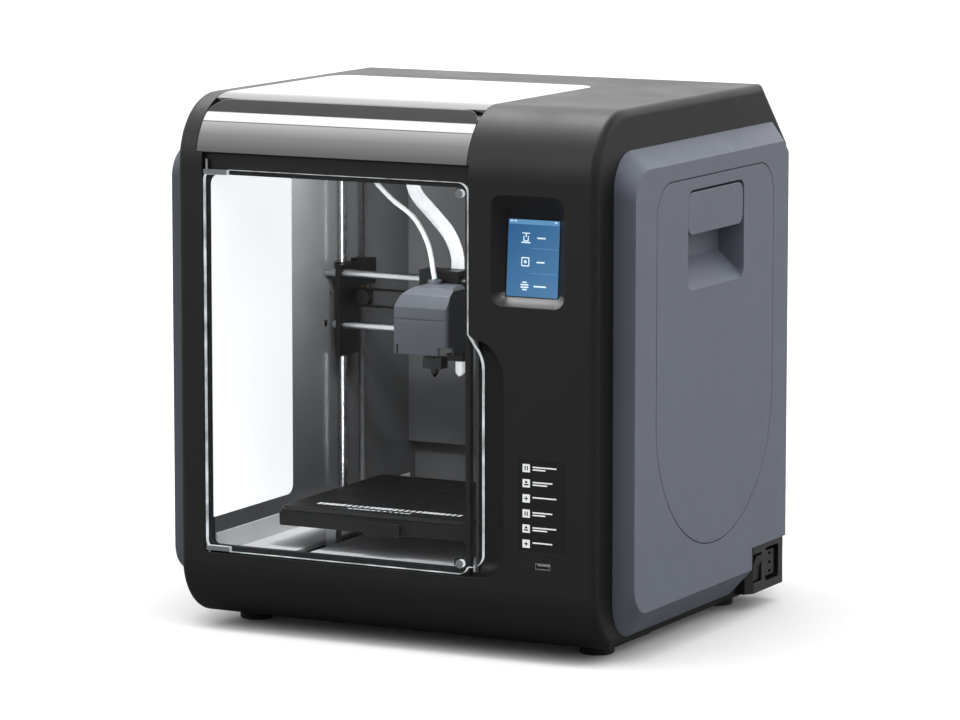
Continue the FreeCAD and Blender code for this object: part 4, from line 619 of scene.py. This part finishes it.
def glass_frame():
    """Middle of the screen's front face and its lean about X, from the CAD glass."""
    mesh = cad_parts["touch_screen"].data
    face = max((f for f in mesh.polygons if f.normal.y < -0.9), key=lambda f: f.area)
    low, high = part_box("touch_screen")
    lean = math.atan2(face.normal.z, -face.normal.y)
    middle = Vector(((low.x + high.x) / 2.0, 0.0, (low.z + high.z) / 2.0))
    spot = mesh.vertices[face.vertices[0]].co
    middle.y = spot.y - (middle.z - spot.z) * face.normal.z / face.normal.y
    return middle / MM, lean, (high.x - low.x) / MM, (high.z - low.z) / MM


def on_glass(u, v, half_u, half_v, lift=0.1):
    """A mark on the glass; u and v run from 0 to 1 across and up it, half sizes are in mm."""
    middle, lean, wide, tall = GLASS
    x = middle.x + (u - 0.5) * wide
    climb = (v - 0.5) * tall
    return ((x, middle.y + climb * math.tan(lean) - lift * 0.5, middle.z + climb),
            (half_u, lift * 0.5, half_v), -lean)


def screen_graphics():
    """Header strip with small marks, then three menu rows: an outline icon and a short bar."""
    strip = [on_glass(0.5, 0.948, 20.2, 1.7)]
    strip += [on_glass(0.70, v, 10.5, 0.16) for v in (0.625, 0.315)]
    slabs("screen_header", strip, MENU_STRIP, "chassis", 0.04)
    marks = [on_glass(u, 0.957, w, 0.5, 0.24) for u, w in ((0.09, 1.0), (0.16, 1.0), (0.90, 1.0))]
    top, middle, bottom = 0.755, 0.455, 0.155
    marks += [on_glass(0.64, v, w, 0.55) for v, w in ((top, 3.4), (middle, 3.2), (bottom, 5.0))]
    marks += [on_glass(0.36, top + 0.055, 3.2, 0.35), on_glass(0.36, top - 0.06, 3.6, 0.5),
              on_glass(0.36, top + 0.03, 0.45, 1.2), on_glass(0.32, top - 0.01, 0.4, 1.8),
              on_glass(0.40, top - 0.01, 0.4, 1.8), on_glass(0.36, top - 0.04, 1.4, 0.4)]
    marks += [on_glass(0.36, middle + d, 2.9, 0.4) for d in (0.05, -0.05)]
    marks += [on_glass(0.36 + d, middle, 0.4, 2.9) for d in (0.065, -0.065)]
    marks += [on_glass(0.36, middle, 1.0, 1.0)]
    marks += [on_glass(0.36, bottom + d, w, 0.5) for d, w in ((0.045, 1.8), (0.015, 3.2), (-0.015, 3.2), (-0.045, 1.8))]
    slabs("screen_marks", marks, MENU_WHITE, "chassis", 0.04)


def label_graphics():
    """Six white squares down the label, each with a plain dark sign and light bars beside it."""
    low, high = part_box("icon_label")
    face = low.y / MM
    pitch = (high.z - low.z) / MM / 6.0
    white, dark = [], []
    for k in range(6):
        x = low.x / MM + 6.1
        z = low.z / MM + pitch * (k + 0.5)
        white.append(((x, face - 0.04, z), (3.0, 0.05, 3.0), 0.0))
        if k % 3 == 0:
            signs = [(0.0, 0.0, 1.5, 0.4), (0.0, 0.0, 0.4, 1.5)]
        elif k % 3 == 1:
            signs = [(0.0, -1.0, 1.8, 0.5), (0.0, 0.9, 0.9, 0.8)]
        else:
            signs = [(-0.9, 0.0, 0.45, 1.6), (0.9, 0.0, 0.45, 1.6)]
        for dx, dz, half_x, half_z in signs:
            dark.append(((x + dx, face - 0.10, z + dz), (half_x, 0.05, half_z), 0.0))
        long = 8.0 + 1.6 * (k % 2)
        white.append(((x + 5.2 + long, face - 0.04, z + 1.0), (long, 0.05, 0.5), 0.0))
        if k % 3:
            short = 6.6 - 0.7 * (k % 3)
            white.append(((x + 5.2 + short, face - 0.04, z - 0.9), (short, 0.05, 0.5), 0.0))
    # The white marks glow by emission: painted light that makes the print read brighter.
    slabs("label_marks", white, LABEL_MARK_GLOW, "chassis", 0.03)
    slabs("label_signs", dark, LOOKS["label_film"], "chassis", 0.03)


def bed_graphics():
    """Two rows of short white dashes printed on the plate."""
    low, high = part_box("build_plate")
    top = high.z / MM
    marks = []
    rows = ((-101.0, 26.0, -87.0, 1.5), (-101.0, 26.0, -90.5, 1.2), (-70.0, -14.0, -98.5, 1.0))
    for x0, x1, y, deep in rows:
        count = int((x1 - x0) / 5.0)
        for k in range(count):
            long = 1.7 + 0.5 * math.sin(7.0 * k)
            marks.append(((x0 + 5.0 * (k + 0.5), y, top + 0.05), (long, deep, 0.06), 0.0))
    # The dashes glow by emission: painted light that makes the print read brighter inside the chamber.
    slabs("plate_marks", marks, PLATE_DASH_GLOW, "plate", 0.04)


def turned(title, profile, foot, axis, look, body, sides=28):
    """A lathe-turned piece: profile lists (radius, distance along the axis) from the foot, in mm."""
    along = Vector(axis)
    u_axis = along.orthogonal().normalized()
    v_axis = along.cross(u_axis)
    bm = bmesh.new()
    rings = []
    for radius, reach in profile:
        rings.append([bm.verts.new((Vector(foot) + along * reach + u_axis * radius * math.cos(turn)
                                    + v_axis * radius * math.sin(turn)) * MM)
                      for turn in (k * math.tau / sides for k in range(sides))])
    for r0, r1 in zip(rings, rings[1:]):
        for i in range(sides):
            j = (i + 1) % sides
            bm.faces.new((r0[i], r0[j], r1[j], r1[i]))
    bm.faces.new(rings[0])
    bm.faces.new(rings[-1][::-1])
    return finish_mesh(bm, title, look, body, False)


def door_magnet():
    """Black magnet holder behind the pane's lower right corner."""
    blocks = [((60.3, -163.7, 71.2), (3.7, 2.0, 3.3), 0.0)]
    slabs("door_magnet", blocks, LOOKS["black_plastic"], "door", 0.5)


def gantry_details():
    """Rod end caps outside the left gantry plate and the belt's tension screw."""
    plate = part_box("gantry_blocks")[0].x / MM
    rod_low, rod_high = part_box("x_rods")
    y = (rod_low.y + rod_high.y) / 2.0 / MM
    cap = [(2.2, 0.0), (2.6, 0.4), (2.6, 3.2), (2.2, 3.6)]
    shank = [(0.9, 0.0), (1.3, 0.3), (1.3, 2.6), (1.9, 2.6), (1.9, 3.8), (1.5, 4.2)]
    for k, z in enumerate((rod_low.z / MM + 3.0, rod_high.z / MM - 3.0)):
        turned("x_rod_cap_%d" % k, cap, (plate + 0.1, y, z), (-1, 0, 0), LOOKS["rod_chrome"], "gantry")
    turned("belt_tension_screw", shank, (plate + 0.1, y + 8.0, 236.0), (-1, 0, 0), LOOKS["steel"], "gantry")


GLASS = glass_frame()
SOFT_LINES = soft_lines()
lead_screw("z_screw_left", "left_screw")
lead_screw("z_screw_right", "right_screw")
toothed_belt("x_belt", "gantry", 0)
toothed_belt("y_belt", "chassis", 1)
screen_graphics()
label_graphics()
bed_graphics()
door_magnet()
gantry_details()


# ---------------------------------------------------------------- studio

def studio_world():
    """A plain white room as strip lights that run left to right, darker overhead and in front."""
    world = bpy.data.worlds.new("studio")
    bpy.context.scene.world = world
    world.use_nodes = True
    tree = world.node_tree
    back = tree.nodes["Background"]
    place = tree.nodes.new("ShaderNodeTexCoord")
    split = tree.nodes.new("ShaderNodeSeparateXYZ")
    tree.links.new(place.outputs["Generated"], split.inputs[0])
    angle = tree.nodes.new("ShaderNodeMath")
    angle.operation = "ARCTAN2"
    tree.links.new(split.outputs["Z"], angle.inputs[0])
    tree.links.new(split.outputs["Y"], angle.inputs[1])
    turn = tree.nodes.new("ShaderNodeMapRange")
    turn.inputs[1].default_value = 0.0
    turn.inputs[2].default_value = math.pi
    tree.links.new(angle.outputs[0], turn.inputs[0])
    ramp = tree.nodes.new("ShaderNodeValToRGB")
    tree.links.new(turn.outputs[0], ramp.inputs[0])
    stops = [(0.0, 0.50), (50.0, 0.50), (54.0, 0.085), (88.5, 0.085), (90.0, 1.0), (108.0, 1.0), (109.0, 0.06),
             (111.0, 0.52), (135.0, 0.26), (168.0, 0.11), (180.0, 0.12)]
    ramp.color_ramp.elements[0].position = 0.0
    ramp.color_ramp.elements[1].position = 1.0
    while len(ramp.color_ramp.elements) < len(stops):
        ramp.color_ramp.elements.new(0.5)
    for element, (degrees, value) in zip(ramp.color_ramp.elements, stops):
        element.position = degrees / 180.0
        element.color = (value, value, value, 1.0)
    tree.links.new(ramp.outputs[0], back.inputs["Color"])
    back.inputs["Strength"].default_value = 4.0


def floor():
    """Pale floor, white to the camera and dimmer as a light source for the object."""
    bpy.ops.mesh.primitive_plane_add(size=60.0, location=(0.0, 0.0, CAD_LOW.z))
    plane = bpy.context.object
    plane.name = "studio_floor"
    look = Look("studio_floor_look", Roughness=1.0)
    seen = look.add("ShaderNodeLightPath").outputs["Is Camera Ray"]
    soft = look.remap(look.noise(400.0, 2.0), 0.3, 0.7, 0.98, 1.0)
    shade = look.math("MULTIPLY", look.remap(seen, 0.0, 1.0, 0.25, 0.9), soft)
    tone = look.add("ShaderNodeCombineXYZ")
    for slot in tone.inputs:
        look.link(shade, slot)
    look.set("Base Color", tone.outputs[0])
    look.set("Specular IOR Level", 0.0)
    plane.data.materials.append(look.done())


def area_light(name, place, aim, size, power, colour=(1.0, 1.0, 1.0)):
    data = bpy.data.lights.new(name, "AREA")
    data.shape = "RECTANGLE"
    data.size, data.size_y = size
    data.energy = power
    data.color = colour
    lamp = bpy.data.objects.new(name, data)
    bpy.context.scene.collection.objects.link(lamp)
    lamp.location = place
    lamp.rotation_mode = "QUATERNION"
    lamp.rotation_quaternion = (Vector(aim) - Vector(place)).to_track_quat("-Z", "Y")
    lamp.visible_camera = False
    return lamp


def only_on(lamp, *targets):
    """The lamp lights these CAD nodes or pieces and nothing else."""
    catchers = bpy.data.collections.new(lamp.name + "_catchers")
    for target in targets:
        catchers.objects.link(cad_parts[target] if isinstance(target, str) else target)
    lamp.light_linking.receiver_collection = catchers


def chamber_light():
    """Soft light inside the chamber's upper front, aimed at the left and rear walls and at the floor."""
    low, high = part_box("chamber_liner")
    middle = (low.x + high.x) / 2.0
    walls = ("chamber_liner", "chamber_floor", "bed_frame")
    lamp = area_light("chamber_glow", (middle - 0.03, low.y + 0.05, high.z - 0.03),
                      (middle - 0.08, high.y, low.z + 0.18), (0.15, 0.02), 1.5)
    side = area_light("chamber_left_glow", (middle, low.y + 0.03, high.z - 0.07),
                      (low.x, low.y + 0.16, low.z + 0.2), (0.06, 0.06), 0.8, (1.0, 0.99, 0.97))
    for each in (lamp, side):
        each.visible_glossy = False
        only_on(each, *walls)
    head_low, head_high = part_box("head_cover")
    centre = (head_low + head_high) / 2.0
    top = area_light("head_glow", (centre.x, head_low.y - 0.046, head_high.z + 0.095), centre, (0.08, 0.03), 0.42)
    only_on(top, "head_cover", "release_tab")
    cable = area_light("cable_glow", (middle, low.y + 0.06, 0.30), (middle, high.y, 0.31), (0.12, 0.06), 0.26)
    only_on(cable, *SOFT_LINES)
    strip = area_light("guide_glow", (low.x + 0.03, low.y + 0.03, 0.23), (middle, high.y - 0.1, 0.23),
                       (0.02, 0.30), 0.5)
    only_on(strip, "z_rods")


def shell_lights():
    """Window-like lights that only the housing catches, and the screen's glow on its ledge."""
    above = area_light("shell_highlight", (-0.55, 0.30, 1.60), (0.05, -0.15, 0.40), (0.7, 0.5), 26.0)
    front = area_light("shell_front_fill", (-0.85, -1.75, 1.15), (0.05, -0.15, 0.30), (0.9, 0.6), 16.0)
    low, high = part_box("touch_screen")
    middle = (low.x + high.x) / 2.0
    ledge = area_light("screen_ledge_glow", (middle, low.y - 0.003, low.z + 0.004),
                       (middle, low.y - 0.003, low.z - 0.003), (0.042, 0.003), 0.012)
    for each in (above, front, ledge):
        only_on(each, "main_shell")


def camera():
    data = bpy.data.cameras.new("camera")
    data.lens = 177.4
    data.sensor_width = 36.0
    view = bpy.data.objects.new("camera", data)
    bpy.context.scene.collection.objects.link(view)
    view.location = (1.64615, -3.19458, 0.71503)
    view.rotation_mode = "QUATERNION"
    ahead = Vector((-0.45494, 0.87896, -0.14315))
    view.rotation_quaternion = ahead.to_track_quat("-Z", "Y")
    data.clip_start = 0.1
    data.clip_end = 100.0
    bpy.context.scene.camera = view


studio_world()
floor()
chamber_light()
shell_lights()
camera()
bpy.context.scene.view_settings.view_transform = "Standard"
